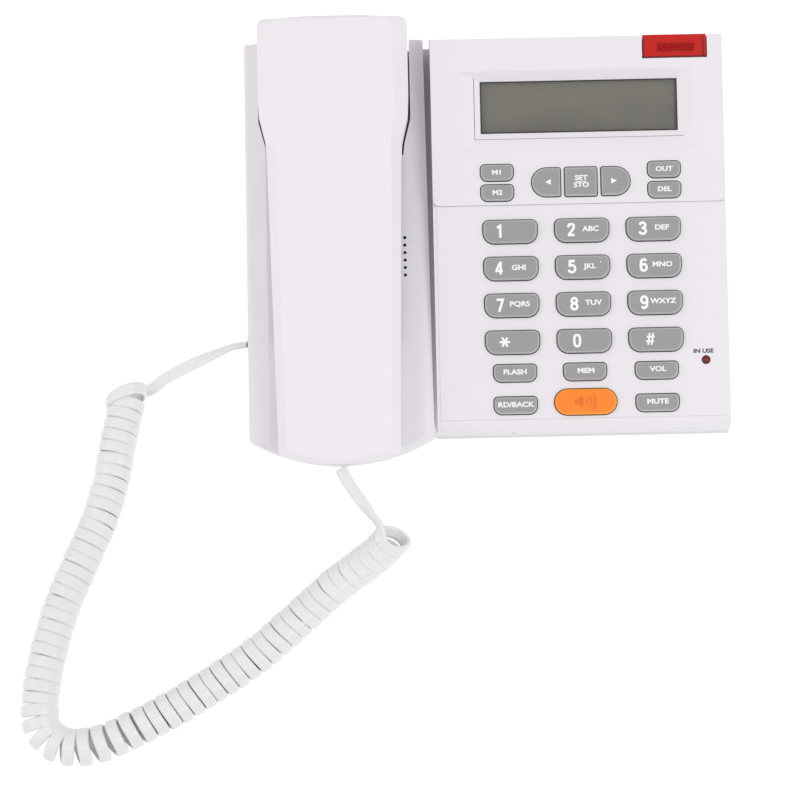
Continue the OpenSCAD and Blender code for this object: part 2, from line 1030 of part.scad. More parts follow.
module battery_cells() {
    color([0.25, 0.4, 0.6])
        for (i = [0:2])
            translate([bay_x[0] + cell_start, cell_y[i], cell_z])
                rotate([0, 90, 0])
                    union() {
                        cylinder(h = cell_l, r = cell_r);
                        translate([0, 0, i == 1 ? -cell_nub : cell_l])
                            cylinder(h = cell_nub, r = nub_r);
                    }
}

module battery_contacts() {
    color([0.8, 0.8, 0.78])
        for (i = [0:2])
            for (x = [bay_x[0] + 0.2, bay_x[1] - 0.2 - contact_t])
                box(
                    [x, cell_y[i] - contact_half, cell_z - contact_half],
                    [x + contact_t, cell_y[i] + contact_half, cell_z + contact_half]
                );
}

module rubber_feet() {
    color([0.2, 0.2, 0.21])
        for (p = foot_at)
            translate([p[0], p[1], 0])
                union() {
                    cylinder(h = foot_h, r = foot_r);
                    cylinder(h = floor_z - 0.4, r = 1.9);
                }
}

module screw(length, head_r, head_h, r) {
    difference() {
        union() {
            cylinder(h = head_h, r = head_r);
            cylinder(h = length, r = r);
        }
        for (a = [0, 90])
            rotate([0, 0, a])
                translate([-1.4, -0.3, -1])
                    cube([2.8, 0.6, 2]);
    }
}

module base_screws() {
    color([0.6, 0.61, 0.63])
        union() {
            for (p = screw_at)
                translate([p[0], p[1], foot_h + 0.2])
                    screw(10, screw_head_r, screw_head_h - 0.1, screw_r);
            translate([door_screw_x, door_screw_y, foot_h + 0.1])
                screw(7, screw_head_r, door_screw_head, screw_r);
        }
}

// ---- Handset, drawn on the cradle's frame ----

// Plan of the handset, shrunk by i
function handset_plan(i) = let(
    m = mouth_half - i,
    g = grip_half - i,
    e = ear_half - i,
    r = arc_v - mouth_v - i,
    x = m - 1.5,
    right = concat(
        [[m, arc_v - sqrt(r * r - x * x) + 2], [g, 108], [g + 0.7, 119.5], [e, 129]],
        quarter([e - 3, ear_v - i - 3], 3, 0)
    ),
    mouth = [for (k = [-5:5]) [x * k / 5, arc_v - sqrt(r * r - pow(x * k / 5, 2))]],
    count = len(right)
) concat(mouth, right, [for (k = [count - 1:-1:0]) [-right[k][0], right[k][1]]]);

// Height of the handset's back at v, before its edges are cut
function back_n(v) = let(s = (v + 10) / 160)
    mouth_n + (top_n - mouth_n) * s + crown * sin(180 * s);

// Side view of the handset, shrunk by i
function handset_side(i) = concat(
    [
        [mouth_v + i, -far / 2],
        [mouth_v + i, 9.3 - 0.5 * i],
        [mouth_v + 1.4 + i, 12.6 - i],
        [mouth_v + 5.8, mouth_n - i]
    ],
    [for (k = [1:crown_steps]) let(v = -10 + 160 * k / crown_steps) [v, back_n(v) - i]],
    [
        [ear_v - 2 - i, top_n - 0.3 - i],
        [ear_v - i, top_n - 2.3 - i],
        [ear_v - i, -far / 2]
    ]
);

// Slanted plane that takes off the long edge from point a to point b
module edge_cut(a, b) {
    d = b - a;
    translate(a)
        rotate([0, 0, -atan2(d[0], d[1])])
            rotate([atan2(d[2], norm([d[0], d[1]])), 0, 0])
                rotate([0, cut_roll, 0])
                    translate([-20, 0, 0])
                        cube([60, norm(d), 20]);
}

module long_edge_cuts() {
    for (s = [0, 1])
        mirror([s, 0, 0]) {
            edge_cut(
                [mouth_half, -20, mouth_n - side_cut_n - 0.3],
                [grip_half + 0.3, 119.5, back_n(119.5) - side_cut_n]
            );
            edge_cut(
                [ear_half, 119.5, top_n - side_cut_n],
                [ear_half, far, top_n - side_cut_n]
            );
        }
}

module handset_solid(i) {
    difference() {
        intersection() {
            translate([0, 0, -far / 2])
                linear_extrude(far)
                    polygon(handset_plan(i));
            along_x(-far / 2, far / 2)
                polygon(handset_side(i));
        }
        translate([0, 0, -i])
            long_edge_cuts();
    }
}

// Opening for the socket in the handset's mouth end
module handset_socket_cut() {
    box(
        [-socket_body[0] / 2, mouth_v - 2, socket_n],
        [socket_body[0] / 2, socket_v + socket_body[1], socket_n + socket_body[2]]
    );
}

module handset_top_shell() {
    color(shell_white)
        on_cradle()
            difference() {
                union() {
                    difference() {
                        handset_solid(0);
                        handset_solid(handset_wall);
                    }
                    intersection() {
                        handset_solid(handset_wall / 2);
                        for (v = handset_screw_v)
                            translate([0, v, joint_n])
                                cylinder(h = far / 10, r = 3.2);
                    }
                }
                box([-far, -far, -far], [far, far, joint_n]);
                for (v = handset_screw_v)
                    translate([0, v, joint_n - 1])
                        cylinder(h = 8, r = 1.25);
                handset_socket_cut();
            }
}

// Side view of the handset's underside, shrunk by i
function underside(i) = [
    [mouth_v + i, rest_n + i],
    [34 - i, rest_n + i],
    [36 - i, grip_n + i],
    [113.6 + i, grip_n + i],
    [115.2 + i, rest_n + i],
    [116 + i, ear_n + i],
    [ear_v - 3 - i, ear_n + i],
    [ear_v - 0.4 - i, ear_n + 3 + i],
    [ear_v - 0.4 - i, joint_n + (i > 0 ? 1 : 0)],
    [mouth_v + i, joint_n + (i > 0 ? 1 : 0)]
];

module bottom_solid(i) {
    intersection() {
        translate([0, 0, -far / 2])
            linear_extrude(far)
                polygon(handset_plan(i + 0.4));
        along_x(-far / 2, far / 2)
            polygon(underside(i));
    }
    translate([0, mouth_well_v + mouth_well[1] / 2, mouth_boss_n + i])
        linear_extrude(-mouth_boss_n + rest_n + 0.5)
            polygon(rounded(mouth_well[0], mouth_well[1], [4, 4, 4, 4], -well_gap - i));
}

module handset_bottom_shell() {
    color(shell_white)
        on_cradle()
            difference() {
                union() {
                    difference() {
                        bottom_solid(0);
                        bottom_solid(handset_wall);
                    }
                    for (v = handset_screw_v)
                        translate([0, v, grip_n])
                            cylinder(h = joint_n - grip_n, r = 3.2);
                }
                for (v = handset_screw_v)
                    translate([0, v, 0]) {
                        cylinder(h = 10, r = 1.5);
                        cylinder(h = grip_n + 1.4, r = 2.4);
                    }
                for (a = [0:60:300])
                    translate([5.5 * cos(a), capsule_v + 5.5 * sin(a), ear_n - 1])
                        cylinder(h = handset_wall + 2, r = capsule_hole_r);
                translate([0, capsule_v, ear_n - 1])
                    cylinder(h = handset_wall + 2, r = capsule_hole_r);
                for (x = [-3, 0, 3])
                    translate([x, mic_v, mouth_boss_n - 1])
                        cylinder(h = handset_wall + 2, r = mic_hole_r);
                handset_socket_cut();
            }
}

module receiver_capsule() {
    color([0.2, 0.2, 0.22])
        on_cradle(0, capsule_v, ear_n + handset_wall)
            union() {
                cylinder(h = 3, r = capsule_r);
                cylinder(h = 8, r = 10);
            }
}

module microphone_capsule() {
    color([0.7, 0.7, 0.72])
        on_cradle(0, mic_v, mouth_boss_n + handset_wall)
            cylinder(h = 4.5, r = 4.8);
}

module handset_weight() {
    color([0.5, 0.5, 0.52])
        on_cradle(-weight[0] / 2, weight_v, grip_n + handset_wall)
            cube(weight);
}

module handset_socket() {
    color([0.82, 0.82, 0.82])
        on_cradle()
            difference() {
                box(
                    [-socket_body[0] / 2, socket_v, socket_n],
                    [socket_body[0] / 2, socket_v + socket_body[1], socket_n + socket_body[2]]
                );
                box(
                    [-jack_hole[1] / 2, mouth_v - 1, socket_hole_n],
                    [jack_hole[1] / 2, mouth_v + jack_hole[0], socket_hole_n + jack_hole[2]]
                );
            }
}

module handset_screws() {
    color([0.6, 0.61, 0.63])
        on_cradle()
            for (v = handset_screw_v)
                translate([0, v, grip_n + 0.1])
                    screw(9.5, 2.3, 1.2, 1.2);
}

// ---- Cord and its plugs ----

module plug_handset() {
    color([0.85, 0.87, 0.88, 0.8])
        on_cradle()
            box(
                [-plug[1] / 2, mouth_v - plug_out, socket_hole_n + plug_gap],
                [plug[1] / 2, mouth_v - plug_out + plug[0], socket_hole_n + plug_gap + plug[2]]
            );
}

module plug_base() {
    color([0.85, 0.87, 0.88, 0.8])
        translate([base_left - plug_out, jack_y - plug[1] / 2, jack_z - plug[2] / 2])
            cube(plug);
}

module cord_lead_handset() {
    color(shell_white)
        tube(lead_handset_route, lead_d / 2, lead_sides);
}

module cord_curl() {
    color(shell_white)
        tube([for (p = curl_route) [p[0], p[1], curl_z]], curl_d / 2, curl_sides);
}

module cord_lead_base() {
    color(shell_white)
        tube(lead_base_route, lead_d / 2, lead_sides);
}

// ---- Assembly ----

for (k = KEYS)
    key(k);
base_top_housing();
base_bottom_housing();
display_fascia();
display_window();
lcd_module();
ringer_lamp_lens();
lamp_led();
in_use_led();
main_board();
keypad_dome_sheet();
base_speaker();
speakerphone_microphone();
hook_lever();
hook_pivot_pin();
hook_spring();
hook_microswitch();
handset_cord_jack();
line_jack();
battery_door();
battery_cells();
battery_contacts();
rubber_feet();
base_screws();
handset_top_shell();
handset_bottom_shell();
receiver_capsule();
microphone_capsule();
handset_weight();
handset_socket();
handset_screws();
plug_handset();
plug_base();
cord_lead_handset();
cord_curl();
cord_lead_base();
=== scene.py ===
"""Looks for a corded desk telephone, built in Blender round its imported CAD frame.

Lengths are in metres. Places on the key face and on the cradle are given as x, v and n,
as in the CAD source: x across, v up the slope from its front edge, n out of the surface.
"""

import json
import math

import bmesh
import bpy
from mathutils import Matrix, Vector


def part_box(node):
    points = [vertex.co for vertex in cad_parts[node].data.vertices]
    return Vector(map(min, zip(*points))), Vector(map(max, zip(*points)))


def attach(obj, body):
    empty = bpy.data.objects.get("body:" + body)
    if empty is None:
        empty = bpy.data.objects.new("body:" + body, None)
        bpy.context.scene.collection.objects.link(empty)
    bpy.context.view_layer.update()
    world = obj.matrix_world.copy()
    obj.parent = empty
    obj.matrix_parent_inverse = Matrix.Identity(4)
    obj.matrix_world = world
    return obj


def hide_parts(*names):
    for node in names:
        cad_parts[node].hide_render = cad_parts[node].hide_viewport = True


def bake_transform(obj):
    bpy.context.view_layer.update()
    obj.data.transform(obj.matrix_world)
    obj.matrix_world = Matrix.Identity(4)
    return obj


MM = 0.001
UP = Vector((0, 0, 1))
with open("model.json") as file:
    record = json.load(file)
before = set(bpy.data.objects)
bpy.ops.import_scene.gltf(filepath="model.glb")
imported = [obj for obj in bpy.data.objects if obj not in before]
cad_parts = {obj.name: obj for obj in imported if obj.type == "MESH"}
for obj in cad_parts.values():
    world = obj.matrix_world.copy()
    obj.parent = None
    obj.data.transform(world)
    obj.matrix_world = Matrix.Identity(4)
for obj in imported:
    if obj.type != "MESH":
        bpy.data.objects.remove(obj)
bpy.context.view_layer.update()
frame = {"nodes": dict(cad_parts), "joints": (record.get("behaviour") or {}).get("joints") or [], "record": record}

# ---- Frames of the key face and of the cradle ----

JOINTS = {joint["name"]: joint for joint in frame["joints"]}
# Front edge of the key face, its height, and the middle of the handset
FACE_Y, FRONT_H, HANDSET_X = -75 * MM, 17.5 * MM, -62 * MM


def sloping_frame(normal, x):
    """Matrix from x, v and n to the row frame, for a plane that faces along normal."""
    n = Vector(normal).normalized()
    v = n.cross(Vector((1, 0, 0)))
    axes = Matrix((Vector((1, 0, 0)), v, n)).transposed().to_4x4()
    return Matrix.Translation((x, FACE_Y, FRONT_H)) @ axes


FACE = sloping_frame([-a for a in JOINTS["key_1_press"]["axis"]], 0)
CRADLE = sloping_frame(JOINTS["handset_lift"]["axis"], HANDSET_X)


def local_box(node, plane):
    """Lowest and highest x, v and n of a CAD node on a sloping plane."""
    inverse = plane.inverted()
    points = [inverse @ vertex.co for vertex in frame["nodes"][node].data.vertices]
    low = Vector([min(p[i] for p in points) for i in range(3)])
    high = Vector([max(p[i] for p in points) for i in range(3)])
    return low, high


def easing(t):
    """Smooth step from 0 to 1 as t runs from 0 to 1."""
    t = min(max(t, 0.0), 1.0)
    return t * t * (3 - 2 * t)


def eased(t, span):
    """Smooth step of t over a span, given as its start and its length."""
    return easing((t - span[0]) / span[1])


# ---- Camera, lights and floor ----

ELEVATION, ROLL = math.radians(75.3), math.radians(1.2)
CAMERA_DISTANCE, FOCAL_LENGTH, SENSOR = 1.0, 110.84, 36.0
TARGET = FACE @ Vector((-39.8 * MM, 14.1 * MM, 0))
LIGHT_AIM = Vector((-0.03, -0.05, 0.02))
WORLD_STRENGTH, FLOOR_GLOW = 0.69, 0.84
FLOOR_REACH = 12.0


def make_camera():
    data = bpy.data.cameras.new("camera")
    data.lens = FOCAL_LENGTH
    data.sensor_width = SENSOR
    data.clip_start, data.clip_end = 0.05, 20
    camera = bpy.data.objects.new("camera", data)
    bpy.context.scene.collection.objects.link(camera)
    ahead = Vector((0, math.cos(ELEVATION), -math.sin(ELEVATION)))
    up = Vector((0, math.sin(ELEVATION), math.cos(ELEVATION)))
    right = Vector((1, 0, 0))
    rolled_right = right * math.cos(ROLL) - up * math.sin(ROLL)
    rolled_up = right * math.sin(ROLL) + up * math.cos(ROLL)
    turn = Matrix((rolled_right, rolled_up, -ahead)).transposed().to_4x4()
    camera.matrix_world = Matrix.Translation(TARGET - ahead * CAMERA_DISTANCE) @ turn
    bpy.context.scene.camera = camera
    bpy.context.scene.view_settings.view_transform = "Standard"


def area_light(name, place, size, power, colour):
    data = bpy.data.lights.new(name, "AREA")
    data.shape = "DISK"
    data.size = size
    data.energy = power
    data.color = colour
    light = bpy.data.objects.new(name, data)
    bpy.context.scene.collection.objects.link(light)
    aim = (LIGHT_AIM - Vector(place)).to_track_quat("-Z", "Y")
    light.matrix_world = Matrix.Translation(place) @ aim.to_matrix().to_4x4()


def make_lights():
    world = bpy.data.worlds.new("studio")
    bpy.context.scene.world = world
    world.use_nodes = True
    background = world.node_tree.nodes["Background"]
    background.inputs["Color"].default_value = (1.0, 0.985, 0.975, 1)
    background.inputs["Strength"].default_value = WORLD_STRENGTH
    area_light("key_light", (1.1, -0.6, 1.45), 0.9, 12, (0.98, 0.98, 1.0))
    area_light("fill_light", (-1.3, 0.0, 1.1), 1.6, 8, (1.0, 0.98, 0.95))


def make_floor():
    """Plain white floor that the object stands on."""
    mesh = bpy.data.meshes.new("floor")
    r = FLOOR_REACH
    mesh.from_pydata([(-r, -r, 0), (r, -r, 0), (r, r, 0), (-r, r, 0)], [], [(0, 1, 2, 3)])
    floor = bpy.data.objects.new("floor", mesh)
    bpy.context.scene.collection.objects.link(floor)
    made = bpy.data.materials.new("floor")
    made.use_nodes = True
    shader = made.node_tree.nodes["Principled BSDF"]
    shader.inputs["Base Color"].default_value = (0.25, 0.25, 0.25, 1)
    shader.inputs["Roughness"].default_value = 0.9
    shader.inputs["Specular IOR Level"].default_value = 0.0
    shader.inputs["Emission Color"].default_value = (1, 1, 1, 1)
    shader.inputs["Emission Strength"].default_value = FLOOR_GLOW
    mesh.materials.append(made)


# ---- Materials ----


class Shader:
    """A procedural material built round one Principled shader."""

    def __init__(self, name, roughness, **sockets):
        self.material = bpy.data.materials.new(name)
        self.material.use_nodes = True
        self.tree = self.material.node_tree
        self.principled = self.tree.nodes["Principled BSDF"]
        self.principled.inputs["Roughness"].default_value = roughness
        for socket, value in sockets.items():
            self.principled.inputs[socket.replace("_", " ")].default_value = value
        self.place = self.tree.nodes.new("ShaderNodeTexCoord").outputs["Object"]

    def noise(self, scale, detail=2.0, stretch=(1, 1, 1)):
        """Noise with features of about 1 / scale metres."""
        mapping = self.tree.nodes.new("ShaderNodeMapping")
        mapping.inputs["Scale"].default_value = stretch
        self.tree.links.new(self.place, mapping.inputs["Vector"])
        texture = self.tree.nodes.new("ShaderNodeTexNoise")
        texture.inputs["Scale"].default_value = scale
        texture.inputs["Detail"].default_value = detail
        self.tree.links.new(mapping.outputs["Vector"], texture.inputs["Vector"])
        return texture.outputs["Fac"]

    def colours(self, factor, first, second, low=0.35, high=0.65):
        """Base colour that runs from first to second with a factor."""
        ramp = self.tree.nodes.new("ShaderNodeValToRGB")
        ramp.color_ramp.elements[0].position = low
        ramp.color_ramp.elements[1].position = high
        ramp.color_ramp.elements[0].color = (*first, 1)
        ramp.color_ramp.elements[1].color = (*second, 1)
        self.tree.links.new(factor, ramp.inputs["Fac"])
        self.tree.links.new(ramp.outputs["Color"], self.principled.inputs["Base Color"])
        return self

    def rough(self, factor, low, high):
        """Roughness that runs from low to high with a factor."""
        span = self.tree.nodes.new("ShaderNodeMapRange")
        span.inputs["To Min"].default_value = low
        span.inputs["To Max"].default_value = high
        self.tree.links.new(factor, span.inputs["Value"])
        self.tree.links.new(span.outputs["Result"], self.principled.inputs["Roughness"])
        return self

    def bump(self, factor, height):
        """Bump of a height in metres."""
        node = self.tree.nodes.new("ShaderNodeBump")
        node.inputs["Strength"].default_value = 1.0
        node.inputs["Distance"].default_value = height
        self.tree.links.new(factor, node.inputs["Height"])
        self.tree.links.new(node.outputs["Normal"], self.principled.inputs["Normal"])
        return self


# Brightness of a key by depth under its top, in mm: painted shade on the sides in the gap, a painted highlight on
# the bevelled rim, the top
KEY_PAINTED_SHADE_AND_HIGHLIGHT = ((1.8, 0.16), (1.05, 0.3), (0.65, 1.45), (0.2, 1.6), (0.06, 1.0))
TONE_FLOOR, TONE_SPAN = 1.8, 2.0


def key_plastic(name, colour, top):
    """Key plastic with a painted highlight on the bevelled rim and painted shade on the sides in the gap."""
    made = Shader(name, 0.4, IOR=1.5)
    made.rough(made.noise(400, 2), 0.36, 0.46)
    made.bump(made.noise(2600, 1), 0.006 * MM)
    normal = FACE.to_3x3() @ Vector((0, 0, 1))
    height = made.tree.nodes.new("ShaderNodeVectorMath")
    height.operation = "DOT_PRODUCT"
    height.inputs[1].default_value = normal
    made.tree.links.new(made.place, height.inputs[0])
    span = made.tree.nodes.new("ShaderNodeMapRange")
    lowest = normal.dot(FACE.translation) + top - TONE_FLOOR * MM
    span.inputs["From Min"].default_value = lowest
    span.inputs["From Max"].default_value = lowest + TONE_SPAN * MM
    made.tree.links.new(height.outputs["Value"], span.inputs["Value"])
    ramp = made.tree.nodes.new("ShaderNodeValToRGB")
    stops = ramp.color_ramp.elements
    while len(stops) < len(KEY_PAINTED_SHADE_AND_HIGHLIGHT):
        stops.new(0.5)
    for stop, (depth, tone) in zip(stops, KEY_PAINTED_SHADE_AND_HIGHLIGHT):
        stop.position = (TONE_FLOOR - depth) / TONE_SPAN
        stop.color = (*[min(1.0, c * tone) for c in colour], 1)
    made.tree.links.new(span.outputs["Result"], ramp.inputs["Fac"])
    made.tree.links.new(ramp.outputs["Color"], made.principled.inputs["Base Color"])
    return made.material


def shade(colour, amount):
    return tuple(c * amount for c in colour)


def moulded(name, colour, roughness=0.42, grain=0.012, variation=0.025):
    """Moulded plastic: fine spark-eroded grain, slight colour and gloss variation."""
    made = Shader(name, roughness, IOR=1.5)
    made.colours(made.noise(60, 3), shade(colour, 1 - variation), shade(colour, 1 + variation / 3))
    made.rough(made.noise(400, 2), roughness - 0.05, roughness + 0.05)
    made.bump(made.noise(2600, 1), grain * MM)
    return made.material


def polished(name, colour, roughness=0.12, **sockets):
    """Smooth plastic with faint flow marks."""
    made = Shader(name, roughness, **sockets)
    made.colours(made.noise(90, 2), shade(colour, 0.94), colour)
    made.rough(made.noise(150, 2), roughness, roughness + 0.06)
    return made.material


def metal(name, colour, roughness):
    """Plated steel with fine drawing marks."""
    made = Shader(name, roughness, Metallic=1.0)
    made.colours(made.noise(300, 3), shade(colour, 0.85), colour)
    made.rough(made.noise(900, 3, (1, 12, 12)), roughness - 0.08, roughness + 0.12)
    return made.material


WHITE = (0.80, 0.775, 0.825)
KEY_GREY, KEY_ORANGE = (0.305, 0.305, 0.31), (0.98, 0.225, 0.012)
MATERIALS = {
    "white_plastic": moulded("white_plastic", WHITE, 0.4, 0.012, 0.006),
    # White of the base and its fascia, painted a little darker than the handset's white as shade
    "base_white_shaded": moulded("base_white_shaded", shade(WHITE, 0.965), 0.42, 0.012, 0.006),
    # Painted shade for the fine groove on the key face
    "groove_shade_grey": moulded("groove_shade_grey", shade(WHITE, 0.8), 0.5, 0.001, 0.006),
    "bone_plastic": moulded("bone_plastic", (0.70, 0.68, 0.70), 0.5),
    # Key materials, with painted shade on the sides and a painted highlight on the bevelled rim
    "grey_key_plastic": key_plastic("grey_key_plastic", KEY_GREY, 1.8 * MM),
    "orange_key_plastic": key_plastic("orange_key_plastic", KEY_ORANGE, 1.8 * MM),
    "legend_white": moulded("legend_white", (0.9, 0.9, 0.9), 0.5, 0.001),
    "legend_dark": moulded("legend_dark", (0.05, 0.05, 0.06), 0.5, 0.001),
    "relief_orange": moulded("relief_orange", (0.80, 0.15, 0.006), 0.4, 0.004, 0.04),
    "clear_window": polished(
        "clear_window", (0.9, 0.9, 0.9), 0.05, Transmission_Weight=1.0, IOR=1.49, Alpha=0.35
    ),
    "lcd_glass": polished("lcd_glass", (0.235, 0.225, 0.198), 0.3),
    # Painted shade for the gap round the display's window
    "lcd_shade_edge": polished("lcd_shade_edge", (0.03, 0.03, 0.03), 0.3),
    "red_lens": polished(
        "red_lens", (0.66, 0.012, 0.008), 0.16, Transmission_Weight=0.2, IOR=1.4
    ),
    "red_rib": polished("red_rib", (0.4, 0.008, 0.008), 0.12),
    "red_led": polished("red_led", (0.15, 0.006, 0.01), 0.15),
    "circuit_board": polished("circuit_board", (0.02, 0.16, 0.06), 0.3),
    "dome_rubber": moulded("dome_rubber", (0.5, 0.5, 0.48), 0.6),
    "black_plastic": moulded("black_plastic", (0.03, 0.03, 0.032), 0.45),
    "steel": metal("steel", (0.62, 0.63, 0.65), 0.3),
    "jack_plastic": moulded("jack_plastic", (0.74, 0.73, 0.75), 0.45),
    "battery_jacket": polished("battery_jacket", (0.06, 0.13, 0.3), 0.25),
    "foot_rubber": moulded("foot_rubber", (0.035, 0.035, 0.037), 0.8, 0.03),
    "clear_plug_plastic": polished(
        "clear_plug_plastic", (0.86, 0.86, 0.88), 0.12, Transmission_Weight=0.15, IOR=1.5
    ),
    "cord_jacket": moulded("cord_jacket", (0.775, 0.768, 0.785), 0.34, 0.004, 0.02),
}

# ---- Mesh helpers ----


def add_object(name, mesh, material, body, angle=32):
    """Links a finished mesh as a piece that rides on a body."""
    obj = bpy.data.objects.new(name, mesh)
    bpy.context.scene.collection.objects.link(obj)
    mesh.materials.clear()
    mesh.materials.append(MATERIALS[material])
    mesh.shade_smooth()
    if angle:
        mesh.set_sharp_from_angle(angle=math.radians(angle))
    if body:
        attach(obj, body)
    return obj


def mesh_from(bm, name, merge=None):
    if merge:
        bmesh.ops.remove_doubles(bm, verts=bm.verts, dist=merge)
    bmesh.ops.recalc_face_normals(bm, faces=bm.faces)
    mesh = bpy.data.meshes.new(name)
    bm.to_mesh(mesh)
    bm.free()
    return mesh


def loft(bm, rings, closed_start=True, closed_end=True):
    """Joins closed rings of equally many points with quads, and closes the ends."""
    rows = [[bm.verts.new(p) for p in ring] for ring in rings]
    count = len(rows[0])
    for low, high in zip(rows, rows[1:]):
        for i in range(count):
            j = (i + 1) % count
            bm.faces.new((low[i], low[j], high[j], high[i]))
    if closed_start:
        bm.faces.new(rows[0][::-1])
    if closed_end:
        bm.faces.new(rows[-1])
    return rows


def arc(centre, radius, start, sweep, steps):
    """Points on an arc, with angles in degrees."""
    points = []
    for i in range(steps + 1):
        a = math.radians(start + sweep * i / steps)
        points.append((centre[0] + radius * math.cos(a), centre[1] + radius * math.sin(a)))
    return points


def rounded(width, height, radii, grow=0.0, steps=7):
    """Outline with four corner radii, from the bottom right anticlockwise."""
    a, b = width / 2 + grow, height / 2 + grow
    signs = ((1, -1), (1, 1), (-1, 1), (-1, -1))
    points = []
    for k, (sx, sy) in enumerate(signs):
        r = max(radii[k] + grow, 0.05 * MM)
        points += arc((sx * (a - r), sy * (b - r)), r, 90 * k - 90, 90, steps)
    return points


MERGE, FLAT, SHARP = 0.002 * MM, math.radians(0.4), math.radians(20)


def softened(node, piece, material, body, offset, keep):
    """A CAD node with its chosen edges rounded. keep(edge) picks the edges."""
    bm = bmesh.new()
    bm.from_mesh(frame["nodes"][node].data)
    bmesh.ops.remove_doubles(bm, verts=bm.verts, dist=MERGE)
    bmesh.ops.dissolve_limit(
        bm, angle_limit=FLAT, verts=bm.verts, edges=bm.edges, use_dissolve_boundaries=False
    )
    bm.normal_update()
    chosen = [
        edge
        for edge in bm.edges
        if len(edge.link_faces) == 2 and edge.calc_face_angle(0) > SHARP and keep(edge)
    ]
    bmesh.ops.bevel(
        bm,
        geom=chosen,
        offset=offset,
        offset_type="OFFSET",
        segments=3,
        profile=0.5,
        affect="EDGES",
        clamp_overlap=True,
        loop_slide=False,
    )
    mesh = bpy.data.meshes.new(piece)
    bm.to_mesh(mesh)
    bm.free()
    obj = add_object(piece, mesh, material, body)
    normals = obj.modifiers.new("flat_faces", "WEIGHTED_NORMAL")
    normals.keep_sharp = True
    normals.weight = 100
    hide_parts(node)
    return obj


FINE_STEPS = 24


def along(points, spacing):
    """Even points on the smooth curve through given points, and its length."""
    ends = [points[0] * 2 - points[1], *points, points[-1] * 2 - points[-2]]
    fine = []
    for p0, p1, p2, p3 in zip(ends, ends[1:], ends[2:], ends[3:]):
        for i in range(FINE_STEPS):
            t = i / FINE_STEPS
            fine.append(
                0.5
                * (
                    2 * p1
                    + (p2 - p0) * t
                    + (2 * p0 - 5 * p1 + 4 * p2 - p3) * t * t
                    + (3 * p1 - p0 - 3 * p2 + p3) * t**3
                )
            )
    fine.append(points[-1])
    lengths = [0.0]
    for a, b in zip(fine, fine[1:]):
        lengths.append(lengths[-1] + (b - a).length)
    count = max(2, round(lengths[-1] / spacing))
    made, k = [], 0
    for i in range(count + 1):
        want = lengths[-1] * i / count
        while k < len(fine) - 2 and lengths[k + 1] < want:
            k += 1
        span = lengths[k + 1] - lengths[k] or 1
        made.append(fine[k].lerp(fine[k + 1], (want - lengths[k]) / span))
    return made, lengths[-1]


# ---- The cord ----

# Flat cord: its section, the roundness of its edges and the height of its ridges
CORD_WIDTH, CORD_THICK, EDGE_ROUND, RIDGE = 5.0 * MM, 2.3 * MM, 0.86, 0.14
# Radius of the curl to the middle of the cord, and its height above the floor
CURL_RADIUS, CURL_Z = 6.55 * MM, 7.9 * MM
# Distance between turns before the bend and after it, and how much more it is in the bend
PITCH_FIRST, PITCH_LAST, PITCH_BEND = 5.3 * MM, 4.95 * MM, 1.4 * MM
# Where the bend is along the curl, how far it reaches, and the length over which the pitch changes
BEND_AT, BEND_REACH, PITCH_CHANGE = 147 * MM, 17 * MM, 45 * MM
# Steps in a turn, and the spacing of points on the curl's route and on the leads
CURL_STEPS, ROUTE_STEP, LEAD_STEP = 22, 0.25 * MM, 1.1 * MM
# Uneven spacing and height of the turns
WOBBLE, WOBBLE_RATE = 0.11, 0.61
SWELL, SWELL_LIFT, SWELL_RATE = 0.018, 0.016, 0.37
# The last turns widen, lean and pull back towards the base
TAIL_TURNS, TAIL_WIDEN, TAIL_LEAN, TAIL_PULL = 1.25, 0.16, 4.5 * MM, 1.0 * MM
# How far turns lean along the route before and after the bend, and where that changes
LEAN_FIRST, LEAN_LAST, LEAN_CHANGE = 1.6 * MM, 0.4 * MM, (0.42, 0.2)
# Tilt and rise of the first turns, at the handset's lead, and how far along they fade
MOUTH_TILT, MOUTH_REACH, MOUTH_RISE = 0.95, 42 * MM, 0.8 * MM
# Where on a turn the curl starts and ends, in degrees
FIRST_ANGLE, LAST_ANGLE = 78, 262
# How far each lead is turned on edge, and the shares of its length over which that happens
LEAD_TURN, LEAD_TWIST, LEAD_UNTWIST, LEAD_JOIN = math.radians(68), (0.35, 0.35), (0.82, 0.18), (0.9, 0.1)
BASE_TURN, BASE_TWIST, BASE_JOIN = math.radians(62), (0.5, 0.45), (0, 0.25)
# Points in mm: the handset's lead, the curl's middle on the floor, and the base's lead
LEAD_HANDSET = [
    Vector(p) * MM
    for p in (
        (-62, -92.7, 20.6),
        (-59.8, -97, 19.7),
        (-56.6, -102, 18.4),
        (-53, -107, 17.4),
        (-49.6, -111.8, 16.9),
        (-46.4, -116.2, 16.5),
    )
]
CURL_ROUTE = [
    Vector((x, y, 0)) * MM
    for x, y in (
        (-40, -118.5),
        (-46, -125),
        (-55, -132),
        (-66, -140),
        (-83, -155),
        (-98, -167.5),
        (-115, -178.5),
        (-132, -188.5),
        (-147, -196),
        (-159, -201),
        (-169, -203),
        (-177.5, -201.5),
        (-183.5, -196.5),
        (-185.5, -189),
        (-185, -179),
        (-183, -167),
        (-180, -155),
        (-176.5, -143.5),
        (-171.5, -131.5),
        (-167, -121),
        (-162.5, -110.5),
        (-159.5, -101),
        (-157, -91),
        (-155.5, -81),
        (-153.5, -71),
        (-151.5, -61),
        (-150.5, -52),
    )
]
LEAD_BASE = [
    Vector(p) * MM
    for p in (
        (-142, -53, 2.6),
        (-135, -48.5, 4.6),
        (-125, -43.5, 5.6),
        (-115, -39.5, 7.2),
        (-107, -37, 9.4),
        (-100.6, -36.3, 10.6),
    )
]


